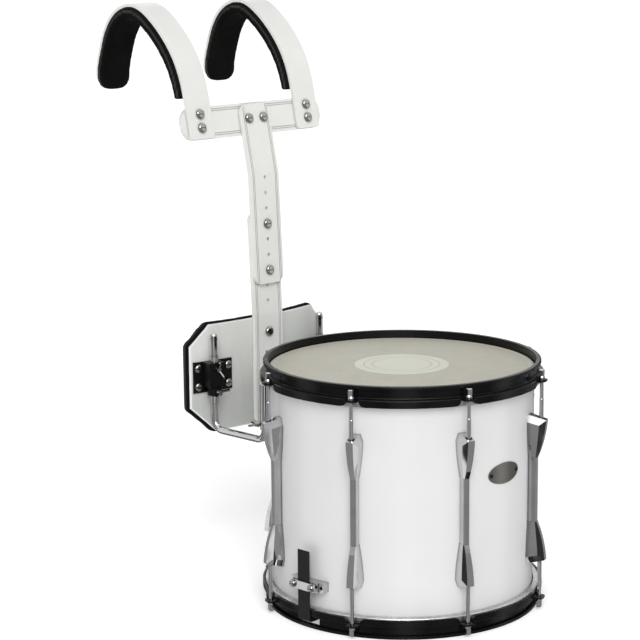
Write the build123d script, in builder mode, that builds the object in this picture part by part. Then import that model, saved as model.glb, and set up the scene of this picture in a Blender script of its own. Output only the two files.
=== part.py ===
from build123d import *
import os
from math import asin, atan2, cos, degrees, hypot, radians, sin, tan

# A marching snare drum on its T-bar shoulder carrier. Millimetres, +Z up.
# The origin is on the drum's axis, in the plane of the bottom hoop's lip, on which the drum rests.
# The badge is on the drum's front (-Y), the player and the carrier are behind it (+Y),
# the butt plate of the snares is on the player's right (-X) and the throw-off on the left (+X).

# --- Driving dimensions of the drum ------------------------------------------------------------
SHELL_R = 178.0
SHELL_WALL = 6.5
SHELL_HEIGHT = 304.8
BEARING_EDGE = 2.5
DRUM_HEIGHT = 333.6
HEAD_RECESS = 10.4
FILM = 0.4
SHELL_TOP = DRUM_HEIGHT - HEAD_RECESS - FILM
SHELL_BOTTOM = SHELL_TOP - SHELL_HEIGHT
MID_HEIGHT = DRUM_HEIGHT / 2

HOOP_STEEL = 2.3
HOOP_WALL_R = 183.0
HOOP_LIP_R = 187.0
HOOP_SKIRT_R = 191.0
HOOP_LEDGE_DEPTH = 17.0
HOOP_HEIGHT = 27.0
EAR_R = 201.5
EAR_WIDTH = 18.0
LEDGE_TOP = DRUM_HEIGHT - HOOP_LEDGE_DEPTH
LEDGE_BOTTOM = LEDGE_TOP - HOOP_STEEL
SKIRT_BOTTOM = DRUM_HEIGHT - HOOP_HEIGHT
FLESH_INNER_R = 179.6
FLESH_OUTER_R = 187.6
FLESH_HEIGHT = 9.0

LUG_COUNT = 8
LUG_START = 22.5
ROD_CIRCLE_R = 194.6
ROD_R = 2.6
ROD_THREAD_R = 2.9
ROD_HOLE_R = 3.4
ROD_END = 243.0
ROD_THREAD_TOP = 290.0
WASHER_R = 5.2
WASHER = 1.3
RUNNING_CLEARANCE = 0.05
CLEAR_GAP = 0.3

LUG_TOP = 269.0
LUG_KNEE = 221.0
LUG_BOTTOM = 210.6
INSERT_R = 4.6
INSERT_BOTTOM = 240.0
INSERT_TOP = 262.5
LUG_SCREW_HEIGHTS = (226.0, 252.0)
LUG_SCREW_R = 2.5

# --- Driving dimensions of the snares, butt plate and throw-off ---------------------------------
SNARE_HALF_LENGTH = 158.0
SNARE_STRANDS = 20
SNARE_PITCH = 1.95
SNARE_PLATE = (12.0, 42.0, 0.8)
SNARE_PLATE_TOP = 15.4
STRAP_WIDTH = 21.0
STRAP = 0.8
STRAP_R = 192.2
GATE_WIDTH = 36.0
GATE_BOTTOM = 5.5
GATE_TOP = 14.5
BUTT_STRAP_TOP = 106.5
CLAMP_HEIGHT = 59.0
LEVER_AXIS_X = 193.0
LEVER_AXIS_Z = 108.0

# --- Driving dimensions of the carrier ----------------------------------------------------------
BAR_WIDTH = 55.0
BAR = 6.0
LEAN = 3.0
YOKE_LEAN = 11.5
PLATE_FRONT_Y = 260.0
PLATE_R = 540.0
PLATE = 3.0
PLATE_HALF_WIDTH = 132.5
PLATE_BOTTOM = 203.0
PLATE_TOP = 357.0
PLATE_TOP_CORNER = (31.0, 29.0)
PLATE_LOW_CORNER = (40.0, 37.0)
PLATE_AXIS_Y = PLATE_FRONT_Y + PLATE_R
PAD = 13.0
PAD_PROUD = 4.0
LOWER_BEND_Z = 362.0
LOWER_TOP_Z = 508.0
UPPER_BOTTOM_Z = 405.0
UPPER_BEND_Z = 560.0
UPPER_TOP_Z = 659.0
HOLE_PITCH = 22.0
HOLE_START_Z = 379.8
HOLE_R = 2.6
BOLT_R = 2.6
BOLT_HEAD_R = 6.9
BRACKET_BOLT_HEAD_R = 5.9
BOLT_HEAD = 3.8
SEAT_GAP = 0.06
CROSSBAR = (270.0, 45.0)
CROSSBAR_Z = 638.0
CROSSBAR_CORNER = 20.0
BAND_X = 104.0
BAND_WIDTH = 44.0
BAND = 4.5
BAND_PAD = 17.0
BAND_PAD_WIDTH = 54.0
BAND_PAD_OVERHANG = 6.0
HOOK_X = 106.0
HOOK_ROD_R = 5.0
HOOK_BACK_Y = 256.5
HOOK_FRONT_Y = 156.5
HOOK_RUN_Z = 210.0
HOOK_TIP_Z = 348.0
HOOK_LEG_TOP_Z = 262.0
HOOK_BEND_R = 15.0
GUIDE_R = 6.0
GUIDE_BOTTOM = 248.0
GUIDE_TOP = 315.0
BRACKET_BOTTOM = 262.0
BRACKET_TOP = 306.0
CHANNEL_BOTTOM = 271.0
SOCKET_BOTTOM = 226.0
SOCKET_TOP = 289.0

os.makedirs("parts", exist_ok=True)


def radial_plane(angle, radius, height):
    """A plane whose normal points outward from the drum's axis, with +Z as its local y."""
    outward = Vector(cos(radians(angle)), sin(radians(angle)), 0)
    sideways = Vector(-sin(radians(angle)), cos(radians(angle)), 0)
    return Plane(origin=outward * radius + Vector(0, 0, height), x_dir=sideways, z_dir=outward)


def lower_bar_front(height):
    """Y of the lower bar's front face at a height."""
    return PLATE_FRONT_Y - BAR + max(0, height - LOWER_BEND_Z) * tan(radians(LEAN))


def upper_bar_front(height):
    """Y of the upper bar's front face at a height."""
    start = lower_bar_front(UPPER_BOTTOM_Z) - BAR / cos(radians(LEAN))
    straight = min(height, UPPER_BEND_Z) - UPPER_BOTTOM_Z
    bent = max(0, height - UPPER_BEND_Z)
    return start + straight * tan(radians(LEAN)) + bent * tan(radians(YOKE_LEAN))


def leaning_plane(front_y, height, lean, x=0.0):
    """A plane on a bar's front face: normal out of the face, local y up along the bar."""
    outward = Vector(0, -cos(radians(lean)), sin(radians(lean)))
    return Plane(origin=(x, front_y, height), x_dir=(1, 0, 0), z_dir=outward)


def slotted_bolt(grip, head_r, shank_r, with_nut):
    """A domed slotted bolt along Z: its head stands on Z = 0 and its shank goes down by the grip."""
    with BuildPart() as bolt:
        with BuildSketch(Plane.XY):
            Circle(head_r)
        extrude(amount=BOLT_HEAD)
        fillet(bolt.edges().group_by(Axis.Z)[-1], radius=BOLT_HEAD * 0.65)
        with BuildSketch(Plane.XY.offset(BOLT_HEAD)):
            Rectangle(head_r * 2.4, 1.2)
        extrude(amount=-BOLT_HEAD * 0.5, mode=Mode.SUBTRACT)
        with BuildSketch(Plane.XY):
            Circle(shank_r)
        extrude(amount=-grip - (5.0 if with_nut else 0.0))
        if with_nut:
            with BuildSketch(Plane.XY.offset(-grip - SEAT_GAP)):
                RegularPolygon(radius=shank_r * 2.0, side_count=6)
            extrude(amount=-4.0)
    return bolt.part


def wing_screw(shank, hub_r=4.2, span=25.0):
    """A wing screw along Z: the hub stands on Z = 0, the wings spread along X, the shank goes down."""
    with BuildPart() as screw:
        with BuildSketch(Plane.XY):
            Circle(hub_r)
        extrude(amount=6.0, taper=8)
        with BuildSketch(Plane.XZ):
            with BuildLine():
                Line((-hub_r * 0.8, 1.2), (-span / 2 + 2.5, 8.0))
                ThreePointArc((-span / 2 + 2.5, 8.0), (-span / 2, 11.5), (-span / 2 + 3.5, 13.5))
                Line((-span / 2 + 3.5, 13.5), (-1.5, 5.5))
                Line((-1.5, 5.5), (1.5, 5.5))
                Line((1.5, 5.5), (span / 2 - 3.5, 13.5))
                ThreePointArc((span / 2 - 3.5, 13.5), (span / 2, 11.5), (span / 2 - 2.5, 8.0))
                Line((span / 2 - 2.5, 8.0), (hub_r * 0.8, 1.2))
                Line((hub_r * 0.8, 1.2), (-hub_r * 0.8, 1.2))
            make_face()
        extrude(amount=1.0, both=True)
        with BuildSketch(Plane.XY):
            Circle(LUG_SCREW_R)
        extrude(amount=-shank)
    return screw.part


# --- Drum: shell, heads and flesh hoops ----------------------------------------------------------
def turned(angle, sideways):
    """The angle about the drum's axis of a point on the shell, sideways from a given angle."""
    return angle + degrees(asin(sideways / SHELL_R))


SOCKET_ANGLE = degrees(atan2(HOOK_FRONT_Y, HOOK_X))
SOCKET_R = hypot(HOOK_X, HOOK_FRONT_Y)
THROW_OFF_SCREWS = [(turned(0, y), z) for y in (-11.0, 11.0) for z in (54.0, 122.0)]
BUTT_SCREWS = [(turned(180, y), CLAMP_HEIGHT) for y in (-24.5, 24.5)]
SOCKET_SCREWS = [
    (angle, height)
    for angle in (SOCKET_ANGLE, 180 - SOCKET_ANGLE)
    for height in (245.0, 280.0)
]
FITTING_SCREWS = THROW_OFF_SCREWS + BUTT_SCREWS + SOCKET_SCREWS
VENT_R = 6.0

with BuildPart() as shell:
    with BuildSketch(Plane.XZ):
        with BuildLine():
            Polyline(
                (SHELL_R - SHELL_WALL, SHELL_BOTTOM + SHELL_WALL - BEARING_EDGE),
                (SHELL_R - BEARING_EDGE, SHELL_BOTTOM),
                (SHELL_R, SHELL_BOTTOM + BEARING_EDGE),
                (SHELL_R, SHELL_TOP - BEARING_EDGE),
                (SHELL_R - BEARING_EDGE, SHELL_TOP),
                (SHELL_R - SHELL_WALL, SHELL_TOP - SHELL_WALL + BEARING_EDGE),
                close=True,
            )
        make_face()
    revolve(axis=Axis.Z)
    for number in range(LUG_COUNT):
        angle = LUG_START + number * 360 / LUG_COUNT
        for height in LUG_SCREW_HEIGHTS:
            for level in (height, DRUM_HEIGHT - height):
                with BuildSketch(radial_plane(angle, SHELL_R + 1, level)):
                    Circle(LUG_SCREW_R)
                extrude(amount=-SHELL_WALL - 4, mode=Mode.SUBTRACT)
    for angle, height in FITTING_SCREWS:
        with BuildSketch(radial_plane(angle, SHELL_R + 1, height)):
            Circle(LUG_SCREW_R)
        extrude(amount=-SHELL_WALL - 4, mode=Mode.SUBTRACT)
    with BuildSketch(radial_plane(90, SHELL_R + 1, MID_HEIGHT)):
        Circle(VENT_R)
    extrude(amount=-SHELL_WALL - 2, mode=Mode.SUBTRACT)
shell.part.label = "shell"
export_step(shell.part, "parts/shell.step")

# The film lies on the bearing edge and turns down between the shell and the flesh hoop.
COLLAR_OUTER_R = FLESH_INNER_R
FLESH_TOP = LEDGE_BOTTOM
FLESH_BOTTOM = FLESH_TOP - FLESH_HEIGHT


def head_section(edge, collar_end, outward):
    """A drumhead's section: flat film, a rounded corner and the collar. outward is +1 at the top."""
    outer = edge + outward * FILM
    corner = 3.2
    inner_r = COLLAR_OUTER_R - FILM
    with BuildSketch() as section:
        with BuildLine():
            Line((0, edge), (0, outer))
            Line((0, outer), (COLLAR_OUTER_R - corner, outer))
            ThreePointArc(
                (COLLAR_OUTER_R - corner, outer),
                (COLLAR_OUTER_R - corner * 0.293, outer - outward * corner * 0.293),
                (COLLAR_OUTER_R, outer - outward * corner),
            )
            Line((COLLAR_OUTER_R, outer - outward * corner), (COLLAR_OUTER_R, collar_end))
            Line((COLLAR_OUTER_R, collar_end), (inner_r, collar_end))
            Line((inner_r, collar_end), (inner_r, outer - outward * corner))
            ThreePointArc(
                (inner_r, outer - outward * corner),
                (inner_r - (corner - FILM) * 0.293, edge - outward * (corner - FILM) * 0.293),
                (COLLAR_OUTER_R - corner, edge),
            )
            Line((COLLAR_OUTER_R - corner, edge), (0, edge))
        make_face()
    return section.sketch


with BuildPart() as batter_head:
    with BuildSketch(Plane.XZ):
        add(head_section(SHELL_TOP, FLESH_BOTTOM + 1.5, 1))
    revolve(axis=Axis.Z)
batter_head.part.label = "batter_head"
export_step(batter_head.part, "parts/batter_head.step")

with BuildPart() as snare_side_head:
    with BuildSketch(Plane.XZ):
        add(head_section(SHELL_BOTTOM, DRUM_HEIGHT - FLESH_BOTTOM - 1.5, -1))
    revolve(axis=Axis.Z)
snare_side_head.part.label = "snare_side_head"
export_step(snare_side_head.part, "parts/snare_side_head.step")

with BuildPart() as batter_flesh_hoop:
    with BuildSketch(Plane.XZ) as flesh_section:
        with Locations(((FLESH_INNER_R + FLESH_OUTER_R) / 2, (FLESH_TOP + FLESH_BOTTOM) / 2)):
            Rectangle(FLESH_OUTER_R - FLESH_INNER_R, FLESH_HEIGHT)
        fillet(flesh_section.vertices().group_by(Axis.X)[-1], radius=1.5)
    revolve(axis=Axis.Z)
batter_flesh_hoop.part.label = "batter_flesh_hoop"
export_step(batter_flesh_hoop.part, "parts/batter_flesh_hoop.step")

with BuildPart() as snare_flesh_hoop:
    mirror(batter_flesh_hoop.part, about=Plane.XY.offset(MID_HEIGHT))
snare_flesh_hoop.part.label = "snare_flesh_hoop"
export_step(snare_flesh_hoop.part, "parts/snare_flesh_hoop.step")

# --- Drum: triple-flanged hoops --------------------------------------------------------------------
HOOP_INNER_R = HOOP_WALL_R - HOOP_STEEL
LIP_ROLL = 4.5
SCALLOP_HALF_WIDTHS = (19.0, 8.8)

with BuildPart() as top_hoop:
    with BuildSketch(Plane.XZ) as hoop_section:
        with BuildLine():
            Polyline(
                (HOOP_INNER_R, DRUM_HEIGHT),
                (HOOP_LIP_R, DRUM_HEIGHT),
                (HOOP_LIP_R, DRUM_HEIGHT - LIP_ROLL),
                (HOOP_LIP_R - HOOP_STEEL * 0.7, DRUM_HEIGHT - LIP_ROLL),
                (HOOP_LIP_R - HOOP_STEEL * 0.7, DRUM_HEIGHT - HOOP_STEEL),
                (HOOP_WALL_R, DRUM_HEIGHT - HOOP_STEEL),
                (HOOP_WALL_R, LEDGE_TOP),
                (HOOP_SKIRT_R, LEDGE_TOP),
                (HOOP_SKIRT_R, SKIRT_BOTTOM),
                (HOOP_SKIRT_R - HOOP_STEEL, SKIRT_BOTTOM),
                (HOOP_SKIRT_R - HOOP_STEEL, LEDGE_BOTTOM),
                (HOOP_INNER_R, LEDGE_BOTTOM),
                close=True,
            )
        make_face()
        rounded = hoop_section.vertices().filter_by(
            lambda v: v.Y > DRUM_HEIGHT - 0.1 and v.X > HOOP_WALL_R or abs(v.Y - LEDGE_TOP) < 0.1
        )
        fillet(rounded, radius=1.6)
    revolve(axis=Axis.Z)
    for number in range(LUG_COUNT):
        angle = LUG_START + number * 360 / LUG_COUNT
        with BuildSketch(radial_plane(angle, HOOP_SKIRT_R + 2, 0)):
            with BuildLine():
                Spline(
                    (-SCALLOP_HALF_WIDTHS[0], SKIRT_BOTTOM),
                    (-SCALLOP_HALF_WIDTHS[1], LEDGE_BOTTOM),
                    tangents=[(1, 0), (0, 1)],
                )
                Line((-SCALLOP_HALF_WIDTHS[1], LEDGE_BOTTOM), (SCALLOP_HALF_WIDTHS[1], LEDGE_BOTTOM))
                Spline(
                    (SCALLOP_HALF_WIDTHS[1], LEDGE_BOTTOM),
                    (SCALLOP_HALF_WIDTHS[0], SKIRT_BOTTOM),
                    tangents=[(0, -1), (1, 0)],
                )
                Polyline(
                    (SCALLOP_HALF_WIDTHS[0], SKIRT_BOTTOM),
                    (SCALLOP_HALF_WIDTHS[0], SKIRT_BOTTOM - 1),
                    (-SCALLOP_HALF_WIDTHS[0], SKIRT_BOTTOM - 1),
                    (-SCALLOP_HALF_WIDTHS[0], SKIRT_BOTTOM),
                )
            make_face()
        extrude(amount=-HOOP_STEEL - 2.6, mode=Mode.SUBTRACT)
    with BuildSketch(Plane.XY.offset(LEDGE_BOTTOM)):
        with PolarLocations((HOOP_WALL_R + EAR_R) / 2, LUG_COUNT, start_angle=LUG_START):
            RectangleRounded(EAR_R - HOOP_WALL_R, EAR_WIDTH, 6.0)
    extrude(amount=HOOP_STEEL)
    with BuildSketch(Plane.XY.offset(LEDGE_BOTTOM)):
        with PolarLocations(ROD_CIRCLE_R, LUG_COUNT, start_angle=LUG_START):
            Circle(ROD_HOLE_R)
    extrude(amount=HOOP_STEEL, mode=Mode.SUBTRACT)
top_hoop.part.label = "top_hoop"
export_step(top_hoop.part, "parts/top_hoop.step")

with BuildPart() as bottom_hoop:
    mirror(top_hoop.part, about=Plane.XY.offset(MID_HEIGHT))
    with BuildSketch(Plane.XZ):
        with Locations((HOOP_WALL_R, (GATE_BOTTOM + GATE_TOP) / 2), (-HOOP_WALL_R, (GATE_BOTTOM + GATE_TOP) / 2)):
            Rectangle(20, GATE_TOP - GATE_BOTTOM)
    extrude(amount=GATE_WIDTH / 2, both=True, mode=Mode.SUBTRACT)
bottom_hoop.part.label = "bottom_hoop"
export_step(bottom_hoop.part, "parts/bottom_hoop.step")

# --- Drum: lugs --------------------------------------------------------------------------------------
# Each casting is a faceted column on the shell, deepest at the rod and tapering to the connecting bar.
LUG_SECTIONS = [
    (LUG_BOTTOM, (4.6, 0.0), (4.4, 10.5), (3.4, 12.5)),
    (LUG_KNEE, (6.4, 0.0), (5.8, 12.0), (3.6, 16.5)),
    (240.0, (9.0, 0.0), (7.9, 14.5), (4.4, 21.5)),
    (LUG_TOP + 1.0, (10.3, 0.0), (8.9, 16.5), (4.8, 25.0)),
]
LUG_FRONT_TOP = 263.0
LUG_FACET_LOW = 255.0
LUG_FACET_REAR = 266.5


def lug_section(height, back, shoulder, front):
    """One hexagonal section of a casting, with its back edge just inside the shell."""
    with BuildSketch(Plane.XY.offset(height)) as section:
        with BuildLine():
            Polyline(
                (SHELL_R - 1.5, -back[0]),
                (SHELL_R + shoulder[1], -shoulder[0]),
                (SHELL_R + front[1], -front[0]),
                (SHELL_R + front[1], front[0]),
                (SHELL_R + shoulder[1], shoulder[0]),
                (SHELL_R - 1.5, back[0]),
                close=True,
            )
        make_face()
    return section.sketch


with BuildPart() as lug_casting:
    loft([lug_section(*LUG_SECTIONS[0]), lug_section(*LUG_SECTIONS[1])], ruled=True)
    loft([lug_section(*row) for row in LUG_SECTIONS[1:]])
    with BuildSketch(Plane.XZ):
        with BuildLine():
            Polyline(
                (SHELL_R - 3, LUG_TOP),
                (SHELL_R, LUG_TOP),
                (SHELL_R + 26, LUG_FRONT_TOP - 0.5),
                (SHELL_R + 26, LUG_TOP + 3),
                (SHELL_R - 3, LUG_TOP + 3),
                close=True,
            )
        make_face()
    extrude(amount=15, both=True, mode=Mode.SUBTRACT)
    for side in (-1, 1):
        rear = Vector(SHELL_R, side * 7.0, LUG_FACET_REAR + 1.6)
        shoulder = Vector(SHELL_R + 16.5, side * 8.9, LUG_FACET_LOW)
        front = Vector(SHELL_R + 24.0, side * 4.8, LUG_FRONT_TOP - 0.3)
        normal = (shoulder - rear).cross(front - rear) * side
        facet = Plane(origin=rear, x_dir=shoulder - rear, z_dir=normal if normal.Z > 0 else -normal)
        with BuildSketch(facet):
            Rectangle(90, 90)
        extrude(amount=14, mode=Mode.SUBTRACT)
    with BuildSketch(Plane.XY.offset(INSERT_BOTTOM)):
        with Locations((ROD_CIRCLE_R, 0)):
            Circle(INSERT_R)
    extrude(amount=LUG_TOP - INSERT_BOTTOM + 2, mode=Mode.SUBTRACT)
    for height in LUG_SCREW_HEIGHTS:
        with BuildSketch(radial_plane(0, SHELL_R - 2, height)):
            Circle(LUG_SCREW_R)
        extrude(amount=11, mode=Mode.SUBTRACT)
    with BuildSketch(Plane.XY.offset(LUG_BOTTOM - 1)):
        Circle(SHELL_R)
    extrude(amount=LUG_TOP - LUG_BOTTOM + 4, mode=Mode.SUBTRACT)

with BuildPart() as lug_castings:
    with PolarLocations(0, LUG_COUNT, start_angle=LUG_START):
        add(lug_casting.part)
    mirror(lug_castings.part, about=Plane.XY.offset(MID_HEIGHT))
lug_castings.part.label = "lug_castings"
export_step(lug_castings.part, "parts/lug_castings.step")

with BuildPart() as lug_bars:
    with BuildSketch(Plane.XY.offset(DRUM_HEIGHT - LUG_BOTTOM)) as bar_section:
        with PolarLocations(SHELL_R + 6.4, LUG_COUNT, start_angle=LUG_START):
            RectangleRounded(11.6, 8.6, 1.4)
    extrude(amount=2 * LUG_BOTTOM - DRUM_HEIGHT)
lug_bars.part.label = "lug_bars"
export_step(lug_bars.part, "parts/lug_bars.step")

with BuildPart() as lug_inserts:
    for bottom in (INSERT_BOTTOM, DRUM_HEIGHT - INSERT_TOP):
        with BuildSketch(Plane.XY.offset(bottom)):
            with PolarLocations(ROD_CIRCLE_R, LUG_COUNT, start_angle=LUG_START):
                Circle(INSERT_R)
                Circle(ROD_THREAD_R + RUNNING_CLEARANCE, mode=Mode.SUBTRACT)
        extrude(amount=INSERT_TOP - INSERT_BOTTOM)
lug_inserts.part.label = "lug_inserts"
export_step(lug_inserts.part, "parts/lug_inserts.step")

LUG_SCREW_LENGTH = 15.0
INNER_WALL_R = SHELL_R - SHELL_WALL
lug_screw = slotted_bolt(LUG_SCREW_LENGTH, 4.6, LUG_SCREW_R, with_nut=False)


def inside_plane(angle, height):
    """A plane at the shell's inner wall whose normal points to the drum's axis."""
    wall = radial_plane(angle, INNER_WALL_R - SEAT_GAP, height)
    return Plane(origin=wall.origin, x_dir=wall.x_dir, z_dir=-wall.z_dir)


with BuildPart() as lug_screws:
    for number in range(LUG_COUNT):
        angle = LUG_START + number * 360 / LUG_COUNT
        for height in LUG_SCREW_HEIGHTS:
            for level in (height, DRUM_HEIGHT - height):
                add(lug_screw.moved(inside_plane(angle, level).location))
lug_screws.part.label = "lug_screws"
export_step(lug_screws.part, "parts/lug_screws.step")

# --- Drum: tension rods ------------------------------------------------------------------------------
KEY_HEAD = 6.0
KEY_HEIGHT = 8.5
ROD_COLLAR_R = 4.4
ROD_COLLAR = 3.6
WASHER_TOP = LEDGE_TOP + WASHER
COLLAR_TOP = WASHER_TOP + ROD_COLLAR

with BuildPart() as upper_rod:
    with BuildSketch(Plane.XZ):
        with BuildLine():
            Polyline(
                (ROD_CIRCLE_R, ROD_END),
                (ROD_CIRCLE_R + ROD_THREAD_R - 0.8, ROD_END),
                (ROD_CIRCLE_R + ROD_THREAD_R, ROD_END + 1.2),
                (ROD_CIRCLE_R + ROD_THREAD_R, ROD_THREAD_TOP),
                (ROD_CIRCLE_R + ROD_R, ROD_THREAD_TOP + 1),
                (ROD_CIRCLE_R + ROD_R, WASHER_TOP),
                (ROD_CIRCLE_R + ROD_COLLAR_R, WASHER_TOP),
                (ROD_CIRCLE_R + ROD_COLLAR_R, WASHER_TOP + 1.6),
                (ROD_CIRCLE_R + ROD_COLLAR_R - 1.0, COLLAR_TOP),
                (ROD_CIRCLE_R, COLLAR_TOP),
                close=True,
            )
        make_face()
    revolve(axis=Axis((ROD_CIRCLE_R, 0, 0), (0, 0, 1)))
    with BuildSketch(Plane.XY.offset(COLLAR_TOP)):
        with Locations((ROD_CIRCLE_R, 0)):
            Rectangle(KEY_HEAD, KEY_HEAD)
    key = extrude(amount=KEY_HEIGHT)
    chamfer(upper_rod.faces().sort_by(Axis.Z)[-1].edges(), length=1.0)

with BuildPart() as lower_rod:
    mirror(upper_rod.part, about=Plane.XY.offset(MID_HEIGHT))

for row, rod in (("top", upper_rod), ("bottom", lower_rod)):
    for number in range(LUG_COUNT):
        turn = Location((0, 0, 0), (0, 0, LUG_START + number * 360 / LUG_COUNT))
        with BuildPart() as tension_rod:
            with Locations(turn):
                add(rod.part)
        tension_rod.part.label = f"tension_rod_{row}_{number + 1}"
        export_step(tension_rod.part, f"parts/tension_rod_{row}_{number + 1}.step")

with BuildPart() as rod_washers:
    for bottom in (LEDGE_TOP, DRUM_HEIGHT - WASHER_TOP):
        with BuildSketch(Plane.XY.offset(bottom)):
            with PolarLocations(ROD_CIRCLE_R, LUG_COUNT, start_angle=LUG_START):
                Circle(WASHER_R)
                Circle(ROD_R + 0.3, mode=Mode.SUBTRACT)
        extrude(amount=WASHER)
rod_washers.part.label = "rod_washers"
export_step(rod_washers.part, "parts/rod_washers.step")

# --- Drum: badge and vent -----------------------------------------------------------------------------
BADGE_Z = 204.5
BADGE = (60.0, 27.5, 1.2)
BADGE_RIVET_X = 25.0
BADGE_RIVET_R = 1.6

with BuildPart() as badge:
    with BuildSketch(Plane.XY.offset(BADGE_Z - BADGE[1])):
        Circle(SHELL_R + BADGE[2])
        Circle(SHELL_R, mode=Mode.SUBTRACT)
    extrude(amount=2 * BADGE[1])
    with BuildSketch(Plane.XZ.offset(SHELL_R - 10)):
        with Locations((0, BADGE_Z)):
            Ellipse(BADGE[0] / 2, BADGE[1] / 2)
    extrude(amount=20, mode=Mode.INTERSECT)
    for x in (-BADGE_RIVET_X, BADGE_RIVET_X):
        with BuildSketch(radial_plane(turned(-90, x), SHELL_R - 1, BADGE_Z)):
            Circle(BADGE_RIVET_R)
        extrude(amount=4, mode=Mode.SUBTRACT)
badge.part.label = "badge"
export_step(badge.part, "parts/badge.step")

with BuildPart() as badge_rivets:
    for x in (-BADGE_RIVET_X, BADGE_RIVET_X):
        with BuildSketch(radial_plane(turned(-90, x), SHELL_R + SEAT_GAP, BADGE_Z)):
            Circle(BADGE_RIVET_R)
        extrude(amount=BADGE[2])
        with BuildSketch(radial_plane(turned(-90, x), SHELL_R + BADGE[2], BADGE_Z)):
            Circle(BADGE_RIVET_R + 1.0)
        extrude(amount=1.0, taper=30)
badge_rivets.part.label = "badge_rivets"
export_step(badge_rivets.part, "parts/badge_rivets.step")

with BuildPart() as vent_grommet:
    with BuildSketch(radial_plane(90, SHELL_R, MID_HEIGHT)):
        Circle(VENT_R)
        Circle(VENT_R - 1.2, mode=Mode.SUBTRACT)
    extrude(amount=-SHELL_WALL - 1.0)
    with BuildSketch(radial_plane(90, SHELL_R, MID_HEIGHT)):
        Circle(VENT_R + 3)
        Circle(VENT_R - 1.2, mode=Mode.SUBTRACT)
    extrude(amount=1.2)
vent_grommet.part.label = "vent_grommet"
export_step(vent_grommet.part, "parts/vent_grommet.step")

# --- Snares --------------------------------------------------------------------------------------------
STRAND_R = 0.85
STRAND_Z = SNARE_PLATE_TOP + STRAND_R - 0.15

with BuildPart() as snare_wires:
    with BuildSketch(Plane.YZ.offset(-SNARE_HALF_LENGTH + 2)):
        with Locations((0, STRAND_Z)):
            with GridLocations(SNARE_PITCH, 1, SNARE_STRANDS, 1):
                Circle(STRAND_R)
    extrude(amount=2 * SNARE_HALF_LENGTH - 4)
    with BuildSketch(Plane.XY.offset(SNARE_PLATE_TOP - SNARE_PLATE[2])):
        with Locations((-SNARE_HALF_LENGTH + SNARE_PLATE[0] / 2, 0), (SNARE_HALF_LENGTH - SNARE_PLATE[0] / 2, 0)):
            Rectangle(SNARE_PLATE[0], SNARE_PLATE[1])
    extrude(amount=SNARE_PLATE[2])
snare_wires.part.label = "snare_wires"
export_step(snare_wires.part, "parts/snare_wires.step")


def strap_section(side, top):
    """A flat strap from the snare's end plate, out through the gate and up beside the hoop."""
    inner_x = SNARE_HALF_LENGTH + CLEAR_GAP
    inner_z = SNARE_PLATE_TOP - STRAP / 2
    with BuildSketch() as section:
        with BuildLine():
            FilletPolyline(
                (side * inner_x, inner_z),
                (side * (inner_x + 8), inner_z),
                (side * (HOOP_WALL_R - 6), STRAP_GATE_Z),
                (side * STRAP_R, STRAP_GATE_Z),
                (side * STRAP_R, top),
                radius=3.5,
            )
        trace(line_width=STRAP)
    return section.sketch


STRAP_GATE_Z = 10.6
THROW_STRAP_TOP = 92.0

with BuildPart() as butt_strap:
    with BuildSketch(Plane.XZ):
        add(strap_section(-1, BUTT_STRAP_TOP))
    extrude(amount=STRAP_WIDTH / 2, both=True)
butt_strap.part.label = "butt_strap"
export_step(butt_strap.part, "parts/butt_strap.step")

with BuildPart() as throw_off_strap:
    with BuildSketch(Plane.XZ):
        add(strap_section(1, THROW_STRAP_TOP))
    extrude(amount=STRAP_WIDTH / 2, both=True)
throw_off_strap.part.label = "throw_off_strap"
export_step(throw_off_strap.part, "parts/throw_off_strap.step")

# --- Butt plate ------------------------------------------------------------------------------------------
STRAP_INNER_R = STRAP_R - STRAP / 2
STRAP_OUTER_R = STRAP_R + STRAP / 2
CLAMP_BOLT_Y = 16.5
BUTT_FOOT = 3.0
BUTT_HEIGHT = 13.0
BUTT_BODY_WIDTH = 43.0
BUTT_WIDTH = 58.0

with BuildPart() as butt_plate:
    with BuildSketch(Plane.XY.offset(CLAMP_HEIGHT - BUTT_HEIGHT / 2)):
        with Locations((-SHELL_R - BUTT_FOOT / 2, 0)):
            Rectangle(12 + BUTT_FOOT, BUTT_WIDTH)
        with Locations((-(SHELL_R + STRAP_INNER_R) / 2, 0)):
            Rectangle(STRAP_INNER_R - SHELL_R, BUTT_BODY_WIDTH)
        Circle(SHELL_R, mode=Mode.SUBTRACT)
    extrude(amount=BUTT_HEIGHT)
    with BuildSketch(radial_plane(180, STRAP_INNER_R, CLAMP_HEIGHT)):
        with Locations((-CLAMP_BOLT_Y, 0), (CLAMP_BOLT_Y, 0)):
            Circle(LUG_SCREW_R)
    extrude(amount=-8, mode=Mode.SUBTRACT)
    for angle, height in BUTT_SCREWS:
        with BuildSketch(radial_plane(angle, SHELL_R - 2, height)):
            Circle(LUG_SCREW_R)
        extrude(amount=16, mode=Mode.SUBTRACT)
butt_plate.part.label = "butt_plate"
export_step(butt_plate.part, "parts/butt_plate.step")

with BuildPart() as butt_clamp:
    with BuildSketch(radial_plane(180, STRAP_OUTER_R, CLAMP_HEIGHT)):
        RectangleRounded(BUTT_BODY_WIDTH, BUTT_HEIGHT - 2, 1.5)
        with Locations((-CLAMP_BOLT_Y, 0), (CLAMP_BOLT_Y, 0)):
            Circle(LUG_SCREW_R, mode=Mode.SUBTRACT)
    extrude(amount=3.0)
butt_clamp.part.label = "butt_clamp"
export_step(butt_clamp.part, "parts/butt_clamp.step")

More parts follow.
